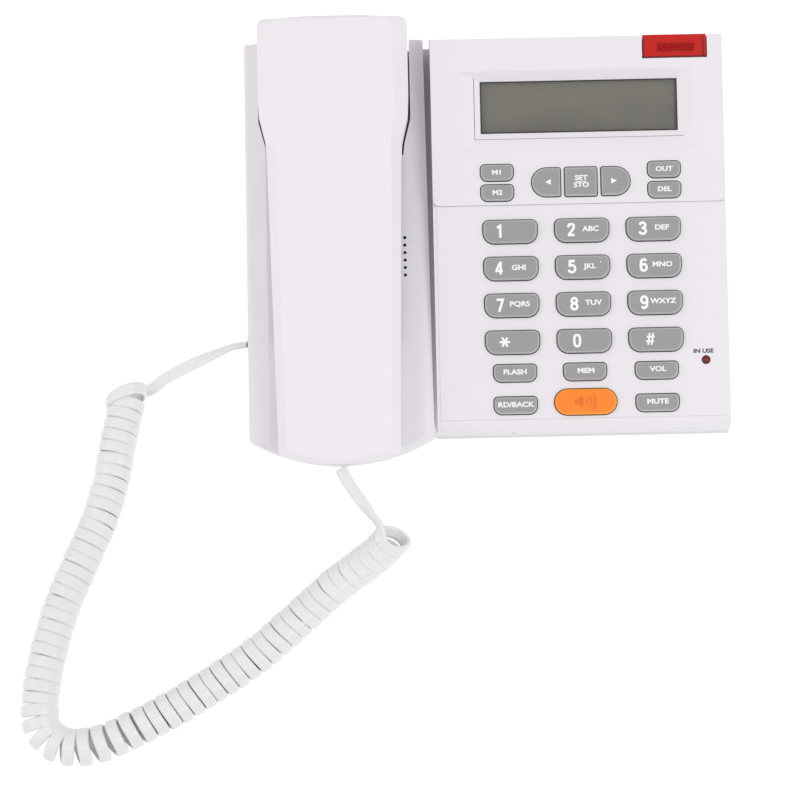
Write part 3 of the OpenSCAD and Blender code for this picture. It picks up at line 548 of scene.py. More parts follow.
def ribbon_section():
    """Section of the flat cord: rounded edges, and a low ridge over each of four wires."""
    half = CORD_WIDTH / 2
    r = CORD_THICK / 2 * EDGE_ROUND
    points = []
    for side in (1, -1):
        points += [
            (side * (half - r) + side * r * math.sin(a), side * r * math.cos(a))
            for a in (math.radians(18 * k) for k in range(1, 10))
        ]
        for k in range(1, 12):
            x = side * (half - r) * (1 - k / 6)
            ridge = RIDGE * r * abs(math.sin(math.pi * 4 * (x / (2 * (half - r)) + 0.5)))
            points.append((x, -side * (r + ridge)))
    return points


def pitch_at(s):
    """Distance between turns: wide at the bend, tighter after it."""
    bend = PITCH_BEND * math.exp(-(((s - BEND_AT) / BEND_REACH) ** 2))
    return PITCH_FIRST + (PITCH_LAST - PITCH_FIRST) * easing((s - BEND_AT) / PITCH_CHANGE) + bend


def turn_marks(length):
    """Number of turns, and the distance along the route at every step of a turn."""
    marks = [0.0]
    while marks[-1] < length + 2 * PITCH_FIRST:
        marks.append(marks[-1] + pitch_at(marks[-1]) / CURL_STEPS)
    turns = round(sum(mark < length for mark in marks) / CURL_STEPS)
    stretch = length / marks[turns * CURL_STEPS]
    return turns, [mark * stretch for mark in marks]


def curl_path():
    """Middle of the ribbon, and the direction its flat side faces, along the curl's turns."""
    centre, length = along(CURL_ROUTE, ROUTE_STEP)
    turns, marks = turn_marks(length)
    first = math.radians(FIRST_ANGLE)
    last = 2 * math.pi * (turns - 1) + math.radians(LAST_ANGLE)
    count = round((last - first) / (2 * math.pi) * CURL_STEPS)
    path = []
    for i in range(count + 1):
        phi = first + (last - first) * i / count
        tail = easing((phi - last) / (2 * math.pi) + TAIL_TURNS)
        share = CURL_STEPS * (phi + WOBBLE * math.sin(WOBBLE_RATE * phi)) / (2 * math.pi)
        mark = int(share)
        s = marks[mark] + (marks[mark + 1] - marks[mark]) * (share - mark)
        mouth = math.exp(-s / MOUTH_REACH)
        lean = LEAN_FIRST + (LEAN_LAST - LEAN_FIRST) * eased(s / length, LEAN_CHANGE)
        s += lean * math.cos(phi) * (1 - mouth) + MOUTH_TILT * mouth * CURL_RADIUS * math.sin(phi)
        s += tail * (TAIL_LEAN * math.cos(phi) - TAIL_PULL)
        k = min(max(s / length, 0.0), 1.0) * (len(centre) - 1)
        k0 = min(int(k), len(centre) - 2)
        here = centre[k0].lerp(centre[k0 + 1], k - k0)
        over = s - min(max(s, 0.0), length)
        ahead = (centre[min(k0 + 4, len(centre) - 1)] - centre[max(k0 - 4, 0)]).normalized()
        side = ahead.cross(UP)
        radius = CURL_RADIUS * (1 + SWELL * math.sin(SWELL_RATE * phi) + TAIL_WIDEN * tail)
        out = side * math.cos(phi) + UP * math.sin(phi)
        z = CURL_Z + MOUTH_RISE * mouth
        z += CURL_RADIUS * (SWELL_LIFT * math.sin(SWELL_RATE * phi) + TAIL_WIDEN * tail)
        path.append((here + ahead * over + UP * z + out * radius, out))
    return path


def ribbon(name, points, faces):
    """Sweeps the flat section along points. faces are the directions its flat side faces."""
    section = ribbon_section()
    bm = bmesh.new()
    rings = []
    last = len(points) - 1
    for i, (p, face) in enumerate(zip(points, faces)):
        ahead = (points[min(i + 1, last)] - points[max(i - 1, 0)]).normalized()
        across = ahead.cross(face).normalized()
        normal = across.cross(ahead)
        rings.append([p + across * x + normal * y for x, y in section])
    loft(bm, rings)
    return mesh_from(bm, name)


def make_handset_lead(curl):
    """Straight lead from the handset to the curl, turned on edge in its middle."""
    start, third = curl[0][0], curl[3][0]
    lead, _ = along([*LEAD_HANDSET, start, third], LEAD_STEP)
    gap = (start - third).length + LEAD_STEP
    while (lead[-1] - start).length > LEAD_STEP * 0.6 and (lead[-1] - third).length < gap:
        lead.pop()
    lead[-1] = start
    sideways = (LEAD_HANDSET[-1] - LEAD_HANDSET[0]).cross(UP).normalized()
    faces = []
    for i in range(len(lead)):
        t = i / (len(lead) - 1)
        turn = LEAD_TURN * eased(t, LEAD_TWIST) * (1 - eased(t, LEAD_UNTWIST))
        face = UP * math.cos(turn) + sideways * math.sin(turn)
        faces.append(face.lerp(curl[0][1], eased(t, LEAD_JOIN)))
    mesh = ribbon("cord_lead", lead, faces)
    obj = add_object("cord_lead", mesh, "cord_jacket", None, 50)
    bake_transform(obj)
    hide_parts("cord_lead_handset")


def make_coil(curl):
    """The curl, and its lead to the base, turned on edge at the jack."""
    end, before = curl[-1][0], curl[-4][0]
    tail, _ = along([before, end, *LEAD_BASE], LEAD_STEP)
    gap = (end - before).length
    while (tail[0] - end).length > LEAD_STEP * 0.6 and (tail[0] - before).length < gap:
        tail.pop(0)
    tail = tail[1:]
    points = [p for p, _ in curl] + tail
    sideways = (LEAD_BASE[-1] - LEAD_BASE[0]).cross(UP).normalized()
    faces = [out for _, out in curl]
    for i in range(len(tail)):
        share = (i + 1) / len(tail)
        t = eased(share, BASE_JOIN)
        turn = BASE_TURN * eased(share, BASE_TWIST)
        flat = curl[-1][1] * (1 - t) + -UP * t
        faces.append((flat * math.cos(turn) + sideways * math.sin(turn)).normalized())
    mesh = ribbon("cord_coil", points, faces)
    obj = add_object("cord_coil", mesh, "cord_jacket", "base", 50)
    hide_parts("cord_curl", "cord_lead_base")


# ---- Keys and their legends ----

NUMBER_RADII = (4.6 * MM, 2.4 * MM, 2.4 * MM, 4.6 * MM)
FUNCTION_RADII = (3.2 * MM, 1.6 * MM, 1.6 * MM, 3.2 * MM)
SOFT_RADII = (2.8 * MM, 1.8 * MM, 1.8 * MM, 2.8 * MM)
SPEAKER_RADII = (5.35 * MM,) * 4
KEY_RADII = {
    "key_speaker": SPEAKER_RADII,
    "key_left": (0.8 * MM, 0.8 * MM, 5.9 * MM, 5.9 * MM),
    "key_set": (0.8 * MM,) * 4,
    "key_right": (5.9 * MM, 5.9 * MM, 0.8 * MM, 0.8 * MM),
}
for function_key in ("key_flash", "key_mem", "key_vol", "key_redial_back", "key_mute"):
    KEY_RADII[function_key] = FUNCTION_RADII
for soft_key in ("key_m1", "key_m2", "key_out", "key_del"):
    KEY_RADII[soft_key] = SOFT_RADII
FLANGE_GROW, FLANGE_LOW, FLANGE_THICK, RIM = 0.6 * MM, -3.5 * MM, 1.0 * MM, 0.95 * MM
STEM = (5 * MM, 4 * MM)

# Strokes of each figure in a cell one high: True marks a curve, False straight lines
SIX = [(0.47, 0.8), (0.38, 0.91), (0.24, 0.92), (0.1, 0.78), (0.06, 0.45), (0.09, 0.2), (0.22, 0.08)]
SIX += [(0.38, 0.1), (0.49, 0.24), (0.48, 0.42), (0.36, 0.55), (0.2, 0.54), (0.08, 0.42)]
EIGHT = [(0.28, 0.53), (0.13, 0.46), (0.06, 0.28), (0.13, 0.12), (0.28, 0.08), (0.43, 0.12)]
EIGHT += [(0.5, 0.28), (0.43, 0.46), (0.28, 0.53), (0.13, 0.6), (0.09, 0.74), (0.15, 0.87)]
EIGHT += [(0.28, 0.92), (0.41, 0.87), (0.47, 0.74), (0.43, 0.6), (0.28, 0.53)]
FIVE = [(0.08, 0.5), (0.22, 0.6), (0.38, 0.58), (0.5, 0.44), (0.49, 0.22), (0.37, 0.09)]
ZERO = [(0.28, 0.92), (0.12, 0.84), (0.06, 0.5), (0.12, 0.16), (0.28, 0.08), (0.44, 0.16), (0.5, 0.5)]
TWO = [(0.06, 0.68), (0.12, 0.86), (0.29, 0.92), (0.46, 0.84), (0.48, 0.66), (0.37, 0.46), (0.08, 0.1)]
THREE_TOP = [(0.05, 0.74), (0.13, 0.88), (0.29, 0.92), (0.44, 0.84), (0.46, 0.67), (0.37, 0.55)]
THREE_LOW = [(0.42, 0.46), (0.5, 0.28), (0.42, 0.12), (0.27, 0.08), (0.11, 0.12), (0.04, 0.27)]
THREE_MIDDLE = (0.2, 0.52)
STAR_ANGLES = (0, math.pi / 3, 2 * math.pi / 3)
FIGURES = {
    "1": [(False, [(0.12, 0.76), (0.36, 0.9), (0.36, 0)])],
    "2": [(True, TWO), (False, [(0.02, 0.09), (0.54, 0.09)])],
    "3": [(True, [*THREE_TOP, THREE_MIDDLE]), (True, [THREE_MIDDLE, *THREE_LOW])],
    "4": [
        (False, [(0.4, 0), (0.4, 0.98)]),
        (False, [(0.37, 0.93), (0.06, 0.28)]),
        (False, [(0, 0.27), (0.56, 0.27)]),
    ],
    "5": [
        (False, [(0.5, 0.91), (0.13, 0.91), (0.1, 0.5)]),
        (True, [*FIVE, (0.22, 0.08), (0.08, 0.14), (0.03, 0.27)]),
    ],
    "6": [(True, SIX)],
    "7": [(False, [(0.02, 0.91), (0.5, 0.91), (0.2, 0)])],
    "8": [(True, EIGHT)],
    "9": [(True, [(0.55 - x, 1 - y) for x, y in SIX])],
    "0": [(True, [*ZERO, (0.44, 0.84), (0.28, 0.92)])],
    "*": [
        (False, [(0.28 + r * math.cos(a), 0.5 + r * math.sin(a)) for r in (-0.4, 0.4)])
        for a in STAR_ANGLES
    ],
    "#": [
        (False, [(0.1, 0.05), (0.24, 0.95)]),
        (False, [(0.36, 0.05), (0.5, 0.95)]),
        (False, [(-0.06, 0.32), (0.54, 0.32)]),
        (False, [(0.0, 0.66), (0.6, 0.66)]),
    ],
}
FIGURE_MIDDLE = Vector((0.28, 0.5))
FIGURE_STROKE, SIGN_STROKES = 0.185, {"*": 0.16, "#": 0.14}

# Legend of each key: a list of (words, letter height, x, v), in mm from the key's middle
DIGIT, SMALL, TINY = 5.5, 2.1, 2.0
LEGENDS = {
    "key_1": [("1", DIGIT, -4.6, 0.3)],
    "key_2": [("2", DIGIT, -4.5, 0.3), ("ABC", SMALL, 3.6, 0.5)],
    "key_3": [("3", DIGIT, -4.5, 0.3), ("DEF", SMALL, 3.4, 0.5)],
    "key_4": [("4", DIGIT, -5.0, 0.3), ("GHI", SMALL, 3.2, 0.3)],
    "key_5": [("5", DIGIT, -4.5, 0.3), ("JKL", SMALL, 3.0, 0.3)],
    "key_6": [("6", DIGIT, -4.5, 0.3), ("MNO", SMALL, 3.2, 0.5)],
    "key_7": [("7", DIGIT, -4.9, 0.2), ("PQRS", SMALL, 3.2, 0.5)],
    "key_8": [("8", DIGIT, -3.9, 0.2), ("TUV", SMALL, 4.0, 0.5)],
    "key_9": [("9", DIGIT, -4.6, 0.2), ("WXYZ", SMALL, 3.2, 0.6)],
    "key_star": [("*", DIGIT, -3.3, 0.2)],
    "key_0": [("0", DIGIT, -3.1, 0.2)],
    "key_hash": [("#", DIGIT, -2.5, 0.3)],
    "key_flash": [("FLASH", SMALL, 0, 0.4)],
    "key_mem": [("MEM", SMALL, 0.3, 0.4)],
    "key_vol": [("VOL", SMALL, 0.4, 0.5)],
    "key_redial_back": [("RD/BACK", SMALL, 0, 0.3)],
    "key_mute": [("MUTE", SMALL, 0, 0.5)],
    "key_m1": [("M1", TINY, 0, 0)],
    "key_m2": [("M2", TINY, 0, 0)],
    "key_out": [("OUT", TINY, 0, 0.1)],
    "key_del": [("DEL", TINY, 0, 0.1)],
    "key_set": [("SET", TINY, 0.1, 1.5), ("STO", TINY, 0.1, -1.5)],
}
CAP_HEIGHT, PRINT_BOLD, PRINT_STRETCH = 0.73, 0.032, 1.22
PRINT_THICKNESS = 0.03 * MM


def print_figure(bm, figure, height, x, v, n, plane):
    """Adds one bold condensed figure, height mm tall, at a place on a sloping plane."""
    width = SIGN_STROKES.get(figure, FIGURE_STROKE) * height * MM
    middle = Vector((x, v)) * MM
    for curved, cell in FIGURES[figure]:
        points = [(Vector(p) - FIGURE_MIDDLE) * height * MM + middle for p in cell]
        if curved:
            points, _ = along(points, 0.25 * MM)
        rings, last = [], len(points) - 1
        for i, p in enumerate(points):
            before = (p - points[max(i - 1, 0)]).normalized()
            after = (points[min(i + 1, last)] - p).normalized()
            ahead = (before + after).normalized()
            reach = width / 2 / max(0.5, ahead.dot(after if i < last else before))
            side = Vector((ahead.y, -ahead.x)) * reach
            corners = ((side, -1), (side, 1), (-side, 1), (-side, -1))
            n += PRINT_THICKNESS / len(points)
            rings.append([plane @ Vector((*(p + o), n + k * PRINT_THICKNESS)) for o, k in corners])
        loft(bm, rings)


def print_text(bm, words, height, x, v, n, plane):
    """Adds printed letters, height mm tall, at a place on a sloping plane."""
    curve = bpy.data.curves.new("print", "FONT")
    curve.body = words
    curve.size = height * MM / CAP_HEIGHT
    curve.offset = PRINT_BOLD * curve.size
    curve.extrude = PRINT_THICKNESS
    curve.align_x = "CENTER"
    curve.align_y = "CENTER"
    curve.resolution_u = 6
    text = bpy.data.objects.new("print", curve)
    bpy.context.scene.collection.objects.link(text)
    shape = text.evaluated_get(bpy.context.evaluated_depsgraph_get())
    mesh = bpy.data.meshes.new_from_object(shape)
    stretch = Matrix.Diagonal((PRINT_STRETCH, 1, 1, 1))
    mesh.transform(plane @ Matrix.Translation((x * MM, v * MM, n)) @ stretch)
    bm.from_mesh(mesh)
    bpy.data.objects.remove(text)
    bpy.data.curves.remove(curve)
    bpy.data.meshes.remove(mesh)


def prism(bm, outline, low, high, plane):
    """Adds a closed prism of an outline between two heights on a sloping plane."""
    rings = [[plane @ Vector((x, y, n)) for x, y in outline] for n in (low, high)]
    loft(bm, rings)


def key_frame(low, high):
    """Plane at a key's middle, with n from the key face, and the key's width and height."""
    middle = (low + high) / 2
    plane = FACE @ Matrix.Translation((middle.x, middle.y, 0))
    return plane, high.x - low.x - 2 * FLANGE_GROW, high.y - low.y - 2 * FLANGE_GROW


def make_key(key):
    """Key cap with a bevelled rim and a shallow dish, its flange and its stem."""
    low, high = local_box(key, FACE)
    plane, width, height = key_frame(low, high)
    radii = KEY_RADII.get(key, NUMBER_RADII)
    top = high.z
    profile = [
        (0.0, FLANGE_LOW + FLANGE_THICK),
        (0.0, top - 1.15 * MM),
        (-0.05 * MM, top - 0.95 * MM),
        (-0.16 * MM, top - 0.8 * MM),
        (-RIM * 0.78, top - 0.16 * MM),
        (-RIM * 0.92, top - 0.04 * MM),
        (-RIM * 1.15, top),
        (-RIM * 1.6, top - 0.02 * MM),
        (-RIM * 2.4, top - 0.05 * MM),
    ]
    stem = rounded(*STEM, (0.3 * MM,) * 4)
    rings = [[(x, y, n) for x, y in stem] for n in (low.z, FLANGE_LOW)]
    for n in (FLANGE_LOW, FLANGE_LOW + FLANGE_THICK):
        rings.append([(x, y, n) for x, y in rounded(width, height, radii, FLANGE_GROW)])
    for grow, n in profile:
        rings.append([(x, y, n) for x, y in rounded(width, height, radii, grow)])
    bm = bmesh.new()
    loft(bm, [[plane @ Vector(p) for p in ring] for ring in rings])
    # One key material for each top height, since the painted shade and highlight go by depth under the top
    material = slot_of(key) + "_top_" + str(round(top / MM, 1)).replace(".", "_")
    if material not in MATERIALS:
        colour = KEY_ORANGE if key == "key_speaker" else KEY_GREY
        MATERIALS[material] = key_plastic(material, colour, top)
    piece = key + "_cap"
    obj = add_object(piece, mesh_from(bm, piece), material, key, 28)
    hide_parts(key)
    print_legend(key, plane, top - 0.04 * MM)


def print_legend(key, plane, n):
    """Words, figures and signs on a key cap's top."""
    bm = bmesh.new()
    material = "legend_white"
    for words, size, x, v in LEGENDS.get(key, []):
        draw = print_figure if words in FIGURES else print_text
        draw(bm, words, size, x, v, n, plane)
    if key in ("key_left", "key_right"):
        tip = -1.2 * MM if key == "key_left" else 1.2 * MM
        shift = -0.6 * tip
        arrow = [(shift + tip, 0), (shift - tip, 1.2 * MM), (shift - tip, -1.2 * MM)]
        prism(bm, arrow, n - PRINT_THICKNESS, n + PRINT_THICKNESS, plane)
    if key == "key_set":
        line = rounded(4.6 * MM, 0.3 * MM, (0.1 * MM,) * 4, steps=2)
        prism(bm, line, n - PRINT_THICKNESS, n + PRINT_THICKNESS, plane)
    if key == "key_speaker":
        speaker_symbol(bm, plane, n)
        material = "relief_orange"
    if key == "key_5":
        dot = [(x + 7.4 * MM, y + 1.9 * MM) for x, y in arc((0, 0), 0.28 * MM, 0, 337.5, 15)]
        prism(bm, dot, n, n + 0.25 * MM, plane)
    piece = key + "_legend"
    add_object(piece, mesh_from(bm, piece), material, key, angle=30)


def slot_of(key):
    return "orange_key_plastic" if key == "key_speaker" else "grey_key_plastic"


KEY_TRAVEL, STEM_GAP, DOME_GAP = 1.2 * MM, 0.7 * MM, 0.15 * MM
DOME_LOW_R, DOME_HIGH_R, DOME_EDGE = 3.3 * MM, 2.4 * MM, 0.25 * MM


def ring_of(radius, n, count=24):
    turns = [2 * math.pi * i / count for i in range(count)]
    return [Vector((radius * math.cos(a), radius * math.sin(a), n)) for a in turns]


def make_domes(keys):
    """The keypad's rubber sheet, and a dome under each key."""
    sheet_low, sheet_high = local_box("keypad_dome_sheet", FACE)
    sheet_top = sheet_high.z + DOME_GAP - STEM_GAP - KEY_TRAVEL
    for key in keys:
        low, high = local_box(key, FACE)
        plane = FACE @ Matrix.Translation(((low.x + high.x) / 2, (low.y + high.y) / 2, 0))
        foot, top = low.z - STEM_GAP - KEY_TRAVEL, low.z - DOME_GAP
        bm = bmesh.new()
        shape = [(DOME_LOW_R, foot), (DOME_HIGH_R, top - DOME_EDGE), (DOME_HIGH_R - DOME_EDGE, top)]
        shape.append((DOME_HIGH_R * 0.5, top))
        loft(bm, [[plane @ p for p in ring_of(r, n)] for r, n in shape])
        piece = key + "_dome"
        obj = add_object(piece, mesh_from(bm, piece), "dome_rubber", None)
        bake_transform(obj)
    bm = bmesh.new()
    corners = [(sheet_low.x, sheet_low.y), (sheet_high.x, sheet_low.y)]
    corners += [(sheet_high.x, sheet_high.y), (sheet_low.x, sheet_high.y)]
    prism(bm, corners, sheet_low.z, sheet_top, FACE)
    sheet = add_object("keypad_sheet", mesh_from(bm, "keypad_sheet"), "dome_rubber", "base")
    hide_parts("keypad_dome_sheet")


# Radius of the wire, number of turns, and steps in a turn
SPRING_WIRE, SPRING_TURNS, SPRING_STEPS = 0.3 * MM, 5, 20


def make_hook_spring():
    """Coil spring under the hook lever."""
    low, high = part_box("hook_spring")
    middle = (Vector(low) + Vector(high)) / 2
    radius = (high[0] - low[0]) / 2 - SPRING_WIRE
    z0, z1 = low[2] + SPRING_WIRE, high[2] - SPRING_WIRE
    count = SPRING_TURNS * SPRING_STEPS
    section = [2 * math.pi * k / 8 for k in range(8)]
    rings = []
    for i in range(count + 1):
        a = 2 * math.pi * i / SPRING_STEPS
        out = Vector((math.cos(a), math.sin(a), 0))
        centre = Vector((middle.x, middle.y, z0 + (z1 - z0) * i / count)) + out * radius
        rings.append([centre + SPRING_WIRE * (out * math.cos(b) + UP * math.sin(b)) for b in section])
    bm = bmesh.new()
    loft(bm, rings)
    obj = add_object("hook_coil_spring", mesh_from(bm, "hook_coil_spring"), "steel", None)
    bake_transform(obj)
    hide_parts("hook_spring")


def speaker_symbol(bm, plane, n):
    """Low relief of a loudspeaker and its sound waves."""
    high = n + 0.16 * MM
    box = [(-4.6, -1.0), (-3.2, -1.0), (-1.2, -2.4), (-1.2, 2.4), (-3.2, 1.0), (-4.6, 1.0)]
    prism(bm, [(x * MM, y * MM) for x, y in box], n - PRINT_THICKNESS, high, plane)
    for radius in (2.2, 3.9, 5.6):
        outer = arc((-1.4 * MM, 0), radius * MM, -38, 76, 10)
        inner = arc((-1.4 * MM, 0), (radius - 0.55) * MM, 38, -76, 10)
        prism(bm, outer + inner, n - PRINT_THICKNESS, high, plane)


# ---- Handset ----

MOUTH_V, EAR_V, ARC_V = -15.8 * MM, 169.2 * MM, 59.8 * MM
MOUTH_HALF, GRIP_HALF, EAR_HALF = 25 * MM, 27.6 * MM, 31.1 * MM
TOP_N, MOUTH_N, JOINT_N, CROWN = 20.2 * MM, 14.5 * MM, 6 * MM, 1.1 * MM
BACK_FROM, BACK_LENGTH = -10 * MM, 160 * MM
ACROSS, SIDE_CROWN = 14, 0.35 * MM
# The bevel along the sides and how much it grows at the ear, then the bevels at the two ends
SIDE_INSET, EAR_INSET, SIDE_DROP, EAR_DROP = 4.6 * MM, 1.6 * MM, 3.6 * MM, 0.7 * MM
MOUTH_END_INSET, EAR_END_INSET, MOUTH_END_DROP, EAR_END_DROP = 1.7 * MM, 1.3 * MM, 1.9 * MM, 1.3 * MM
# Where the bevel grows at the ear, where the ends start, and where the ends' corners are
EAR_SPAN, END_SPAN, CORNER_SPAN = (105 * MM, 25 * MM), (0.9, 0.1), (10 * MM, 16 * MM)


def back_n(v):
    """Height of the handset's back at v."""
    s = min(max((v - BACK_FROM) / BACK_LENGTH, -0.05), 1.12)
    return MOUTH_N + (TOP_N - MOUTH_N) * s + CROWN * math.sin(math.pi * min(max(s, 0), 1))


def fillet(points, radii, steps):
    """An open outline with its inner corners rounded by arcs of given radii."""
    made = [Vector(points[0])]
    for before, corner, after, r in zip(points, points[1:], points[2:], radii):
        c = Vector(corner)
        u, w = (Vector(before) - c), (Vector(after) - c)
        reach = min(u.length, w.length) * 0.49
        u.normalize()
        w.normalize()
        half = math.acos(max(-1, min(1, u.dot(w)))) / 2
        cut = min(r / math.tan(half), reach)
        for i in range(steps + 1):
            t = i / steps
            a, b = c + u * cut, c + w * cut
            made.append(a.lerp(c, t).lerp(c.lerp(b, t), t))
    made.append(Vector(points[-1]))
    return made


def handset_outline():
    """Right half of the handset's plan, from the mouth's middle round to the ear's middle."""
    r = ARC_V - MOUTH_V
    corner = MOUTH_HALF
    front = [(corner * k / 8, ARC_V - math.sqrt(r * r - (corner * k / 8) ** 2)) for k in range(9)]
    grip = 108 * MM
    sides = [
        (GRIP_HALF, grip),
        (GRIP_HALF + 0.6 * MM, 117 * MM),
        (EAR_HALF - 0.4 * MM, 127.5 * MM),
        (EAR_HALF, 136 * MM),
        (EAR_HALF, EAR_V),
        (0, EAR_V),
    ]
    points = front + sides
    radii = [60 * MM] * 7 + [2.6 * MM, 60 * MM, 12 * MM, 12 * MM, 30 * MM, 4.0 * MM]
    rough = fillet(points, radii, 6)
    even = []
    for a, b in zip(rough, rough[1:]):
        pieces = max(1, math.ceil((b - a).length / (3.0 * MM)))
        even += [a.lerp(b, i / pieces) for i in range(pieces)]
    return [*even, rough[-1]]


def make_handset_top():
    """The handset's upper shell: bevelled long edges, a low crown and softly rounded ends."""
    middle_v, half_length = (EAR_V + MOUTH_V) / 2, (EAR_V - MOUTH_V) / 2
    grid = []
    for p in handset_outline():
        ear = eased(p.y, EAR_SPAN)
        end = abs(p.y - middle_v) / half_length
        at_end = eased(end, END_SPAN) * (1 - eased(p.x, CORNER_SPAN))
        inset_side = SIDE_INSET + EAR_INSET * ear
        inset_end, end_drop = MOUTH_END_INSET, MOUTH_END_DROP
        if p.y >= middle_v:
            inset_end, end_drop = EAR_END_INSET, EAR_END_DROP
        drop = (SIDE_DROP + EAR_DROP * ear) * (1 - at_end) + end_drop * at_end
        right = [Vector((p.x, p.y, JOINT_N)), Vector((p.x, p.y, JOINT_N + 1.2 * MM))]
        for inwards, down in bevel_profile():
            x = p.x * (1 - inwards * inset_side / EAR_HALF)
            v = middle_v + (p.y - middle_v) * (1 - inwards * inset_end / half_length)
            right.append(Vector((x, v, back_n(v) - down * drop)))
        last = right[-1]
        across = []
        for k in range(1, ACROSS):
            share = 1 - 2 * k / ACROSS
            crown = SIDE_CROWN * (1 - share * share) * min(1, last.x / (20 * MM))
            across.append(Vector((last.x * share, last.y, last.z + crown)))
        grid.append([*right, *across, *[Vector((-q.x, q.y, q.z)) for q in reversed(right)]])
    bm = bmesh.new()
    rows = [[bm.verts.new(CRADLE @ q) for q in row] for row in grid]
    for low, high in zip(rows, rows[1:]):
        for k in range(len(low) - 1):
            bm.faces.new((low[k], low[k + 1], high[k + 1], high[k]))
    mesh = mesh_from(bm, "handset_shell", merge=1e-6)
    obj = add_object("handset_shell", mesh, "white_plastic", "handset", angle=60)
    shell = obj.modifiers.new("wall", "SOLIDIFY")
    shell.thickness = 1.8 * MM
    shell.offset = -1
    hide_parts("handset_top_shell")


def bevel_profile():
    """Shares of inset and drop, from the side wall over a soft bevel to the back."""
    corner_low = [(0.0, 1.55), (0.0, 1.0), (1.0, 0.0), (1.7, 0.0)]
    return [tuple(q) for q in fillet(corner_low, [0.16, 0.12], 6)]


# ---- Base, display and small parts ----


def edge_middle(edge):
    return (edge.verts[0].co + edge.verts[1].co) / 2


PANEL_FROM, CRADLE_TO = -23 * MM, -20 * MM


def make_base():
    """The two housings, with their outer edges rounded."""
    top_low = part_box("base_top_housing")[0].z
    floor_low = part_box("base_bottom_housing")[0].z

    def outer(edge):
        """Edges of the outer skin: the top edges, the ends and the wells' rims."""
        middle = edge_middle(edge)
        if edge.calc_length() < 2.2 * MM or middle.z < top_low + 0.3 * MM:
            return False
        on_panel = middle.x > PANEL_FROM and (FACE.inverted() @ middle).z > -0.3 * MM
        on_cradle = middle.x < CRADLE_TO and (CRADLE.inverted() @ middle).z > -3.6 * MM
        return on_panel or on_cradle

    def lowest(edge):
        return edge.calc_length() > 3 * MM and edge_middle(edge).z < floor_low + 0.3 * MM

    softened(
        "base_top_housing", "base_top_shell", "base_white_shaded", "base", 0.55 * MM, outer
    )
    softened("base_bottom_housing", "base_bottom_shell", "bone_plastic", "base", 0.6 * MM, lowest)


def make_fascia_and_lens():
    """Display fascia and ringer lamp lens, with their edges rounded."""

    def fascia_edge(edge):
        return edge.calc_length() > 2.5 * MM and (FACE.inverted() @ edge_middle(edge)).z > -2.4 * MM

    def lens_edge(edge):
        return edge.calc_length() > 1 * MM

    plate = "display_fascia_plate"
    softened("display_fascia", plate, "base_white_shaded", "base", 0.35 * MM, fascia_edge)
    softened("ringer_lamp_lens", "ringer_lens", "red_lens", "base", 0.25 * MM, lens_edge)


LCD_SHADE_EDGE = 0.45 * MM


def make_display():
    """Dark line painted round the display's window as the shade in the gap at its edge."""
    low, high = local_box("display_window", FACE)
    a, b = (high.x - low.x) / 2 - 1 * MM, (high.y - low.y) / 2 - 1 * MM
    plane = FACE @ Matrix.Translation(((low.x + high.x) / 2, (low.y + high.y) / 2, 0))
    outer = [(a, -b), (a, b), (-a, b), (-a, -b)]
    inner = [(x - math.copysign(LCD_SHADE_EDGE, x), y - math.copysign(LCD_SHADE_EDGE, y)) for x, y in outer]
    n = high.z + 0.02 * MM
    top = n + 0.05 * MM
    loops = ((outer, n), (outer, top), (inner, top), (inner, n))
    bm = bmesh.new()
    rows = loft(bm, [[plane @ Vector((x, y, z)) for x, y in loop] for loop, z in loops], False, False)
    for i in range(4):
        j = (i + 1) % 4
        bm.faces.new((rows[3][i], rows[3][j], rows[0][j], rows[0][i]))
    add_object("lcd_shade_edge", mesh_from(bm, "lcd_shade_edge"), "lcd_shade_edge", "base", 30)


RIB_PITCH, RIB_HEIGHT, RIB_COLUMNS, RIB_ROWS = 1.6 * MM, 0.55 * MM, 10, 5


def make_lens_ribs():
    """Patch of small pyramids on the ringer lamp's lens."""
    low, high = local_box("ringer_lamp_lens", FACE)
    middle = Vector(((low.x + high.x) / 2, low.y + 4.2 * MM, 0.4 * MM))
    half = RIB_PITCH / 2
    bm = bmesh.new()
    for r in range(RIB_ROWS):
        for c in range(RIB_COLUMNS):
            x = (c - (RIB_COLUMNS - 1) / 2 + (0.5 if r % 2 else 0)) * RIB_PITCH
            v = (r - (RIB_ROWS - 1) / 2) * half
            base = [(x + half, v), (x, v + half), (x - half, v), (x, v - half)]
            ring = [bm.verts.new(FACE @ (middle + Vector((a, b, -0.02 * MM)))) for a, b in base]
            tip = bm.verts.new(FACE @ (middle + Vector((x, v, RIB_HEIGHT))))
            for i in range(4):
                bm.faces.new((ring[i], ring[(i + 1) % 4], tip))
            bm.faces.new(ring[::-1])
    piece = "ringer_lens_ribs"
    add_object(piece, mesh_from(bm, piece), "red_rib", "base", angle=10)


def strip(piece, x0, x1, v0, v1, low, high, material, slot):
    """A narrow flat strip on the key face."""
    bm = bmesh.new()
    prism(bm, [(x0, v0), (x1, v0), (x1, v1), (x0, v1)], low, high, FACE)
    add_object(piece, mesh_from(bm, piece), material, "base")


LENS_SHADE_LINE, RIGHT_LINE_IN = 0.55 * MM, 1.6 * MM


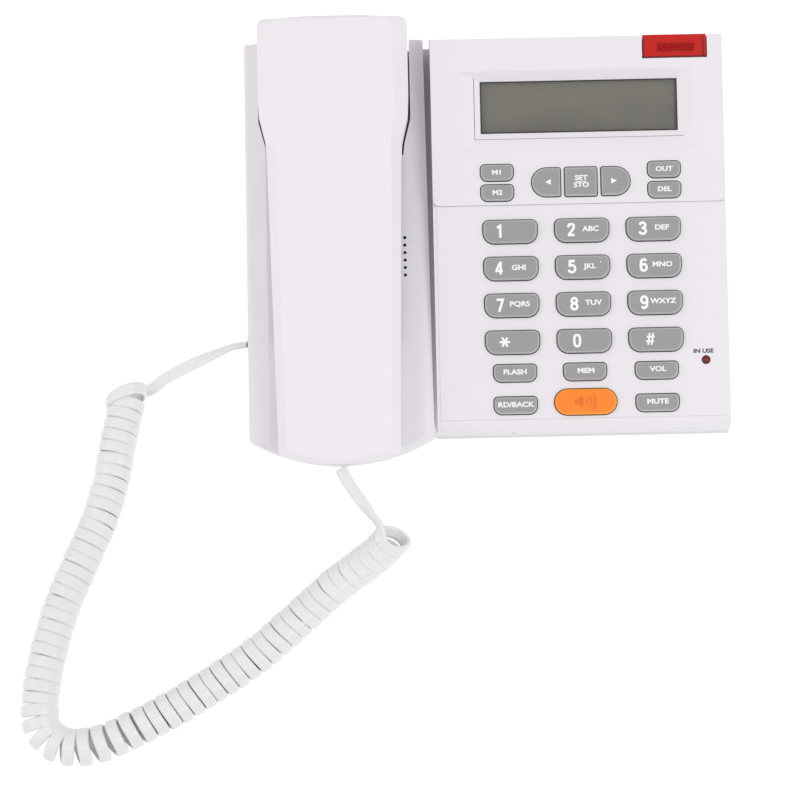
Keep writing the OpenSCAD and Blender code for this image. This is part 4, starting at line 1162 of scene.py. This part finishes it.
def make_lens_shade_lines():
    """Dark lines painted along the lens's left, front and right edges as the shade in the gaps there."""
    low, high = local_box("ringer_lamp_lens", FACE)
    back, right = high.y - 1 * MM, high.x - RIGHT_LINE_IN
    # The lamp's dark red, used here as painted shade
    look = (0.3 * MM, 0.46 * MM, "red_led", "red_lens")
    strip("lens_shade_line_left", low.x, low.x + LENS_SHADE_LINE, low.y, back, *look)
    strip("lens_shade_line_front", low.x, high.x, low.y, low.y + LENS_SHADE_LINE, *look)
    strip("lens_shade_line_right", right, right + LENS_SHADE_LINE, low.y, back, *look)


def make_lamp_label():
    """Words printed behind the in-use lamp."""
    low, high = local_box("in_use_led", FACE)
    middle = (low + high) / 2
    plane = FACE @ Matrix.Translation((middle.x - 1.0 * MM, middle.y, 0))
    bm = bmesh.new()
    print_text(bm, "IN USE", 1.7, 0, 3.6, PRINT_THICKNESS, plane)
    piece = "in_use_label"
    add_object(piece, mesh_from(bm, piece), "legend_dark", "base", 30)


SEAM_LEFT, SEAM_RIGHT, SEAM_V, SEAM_WIDTH = -20.4 * MM, 98.2 * MM, 1.9 * MM, 0.32 * MM


def make_seam():
    """Darker strips painted as the shade in the fine groove along the front of the key face and up its left side;
    the groove is not cut.
    """
    back = local_box("display_fascia", FACE)[0].y - 1 * MM
    look = (-0.05 * MM, 0.02 * MM, "groove_shade_grey", "white_plastic")
    strip("face_seam_front", SEAM_LEFT, SEAM_RIGHT, SEAM_V, SEAM_V + SEAM_WIDTH, *look)
    strip("face_seam_side", SEAM_LEFT, SEAM_LEFT + SEAM_WIDTH, SEAM_V, back, *look)


def paint_cad():
    """Gives each CAD node the material of its slot."""
    for part in frame["record"]["subparts"]:
        obj = frame["nodes"][part["node"]]
        material = MATERIALS[part["material_slot"]]
        if not obj.material_slots:
            obj.data.materials.append(material)
        for slot in obj.material_slots:
            slot.material = material


make_camera()
make_lights()
make_floor()
cord_curl = curl_path()
make_handset_lead(cord_curl)
make_coil(cord_curl)
paint_cad()
make_base()
make_fascia_and_lens()
make_display()
make_lens_ribs()
make_lens_shade_lines()
make_lamp_label()
make_seam()
keys = [node for node in frame["nodes"] if node.startswith("key_")]
for node in keys:
    make_key(node)
make_domes(keys)
make_hook_spring()
make_handset_top()
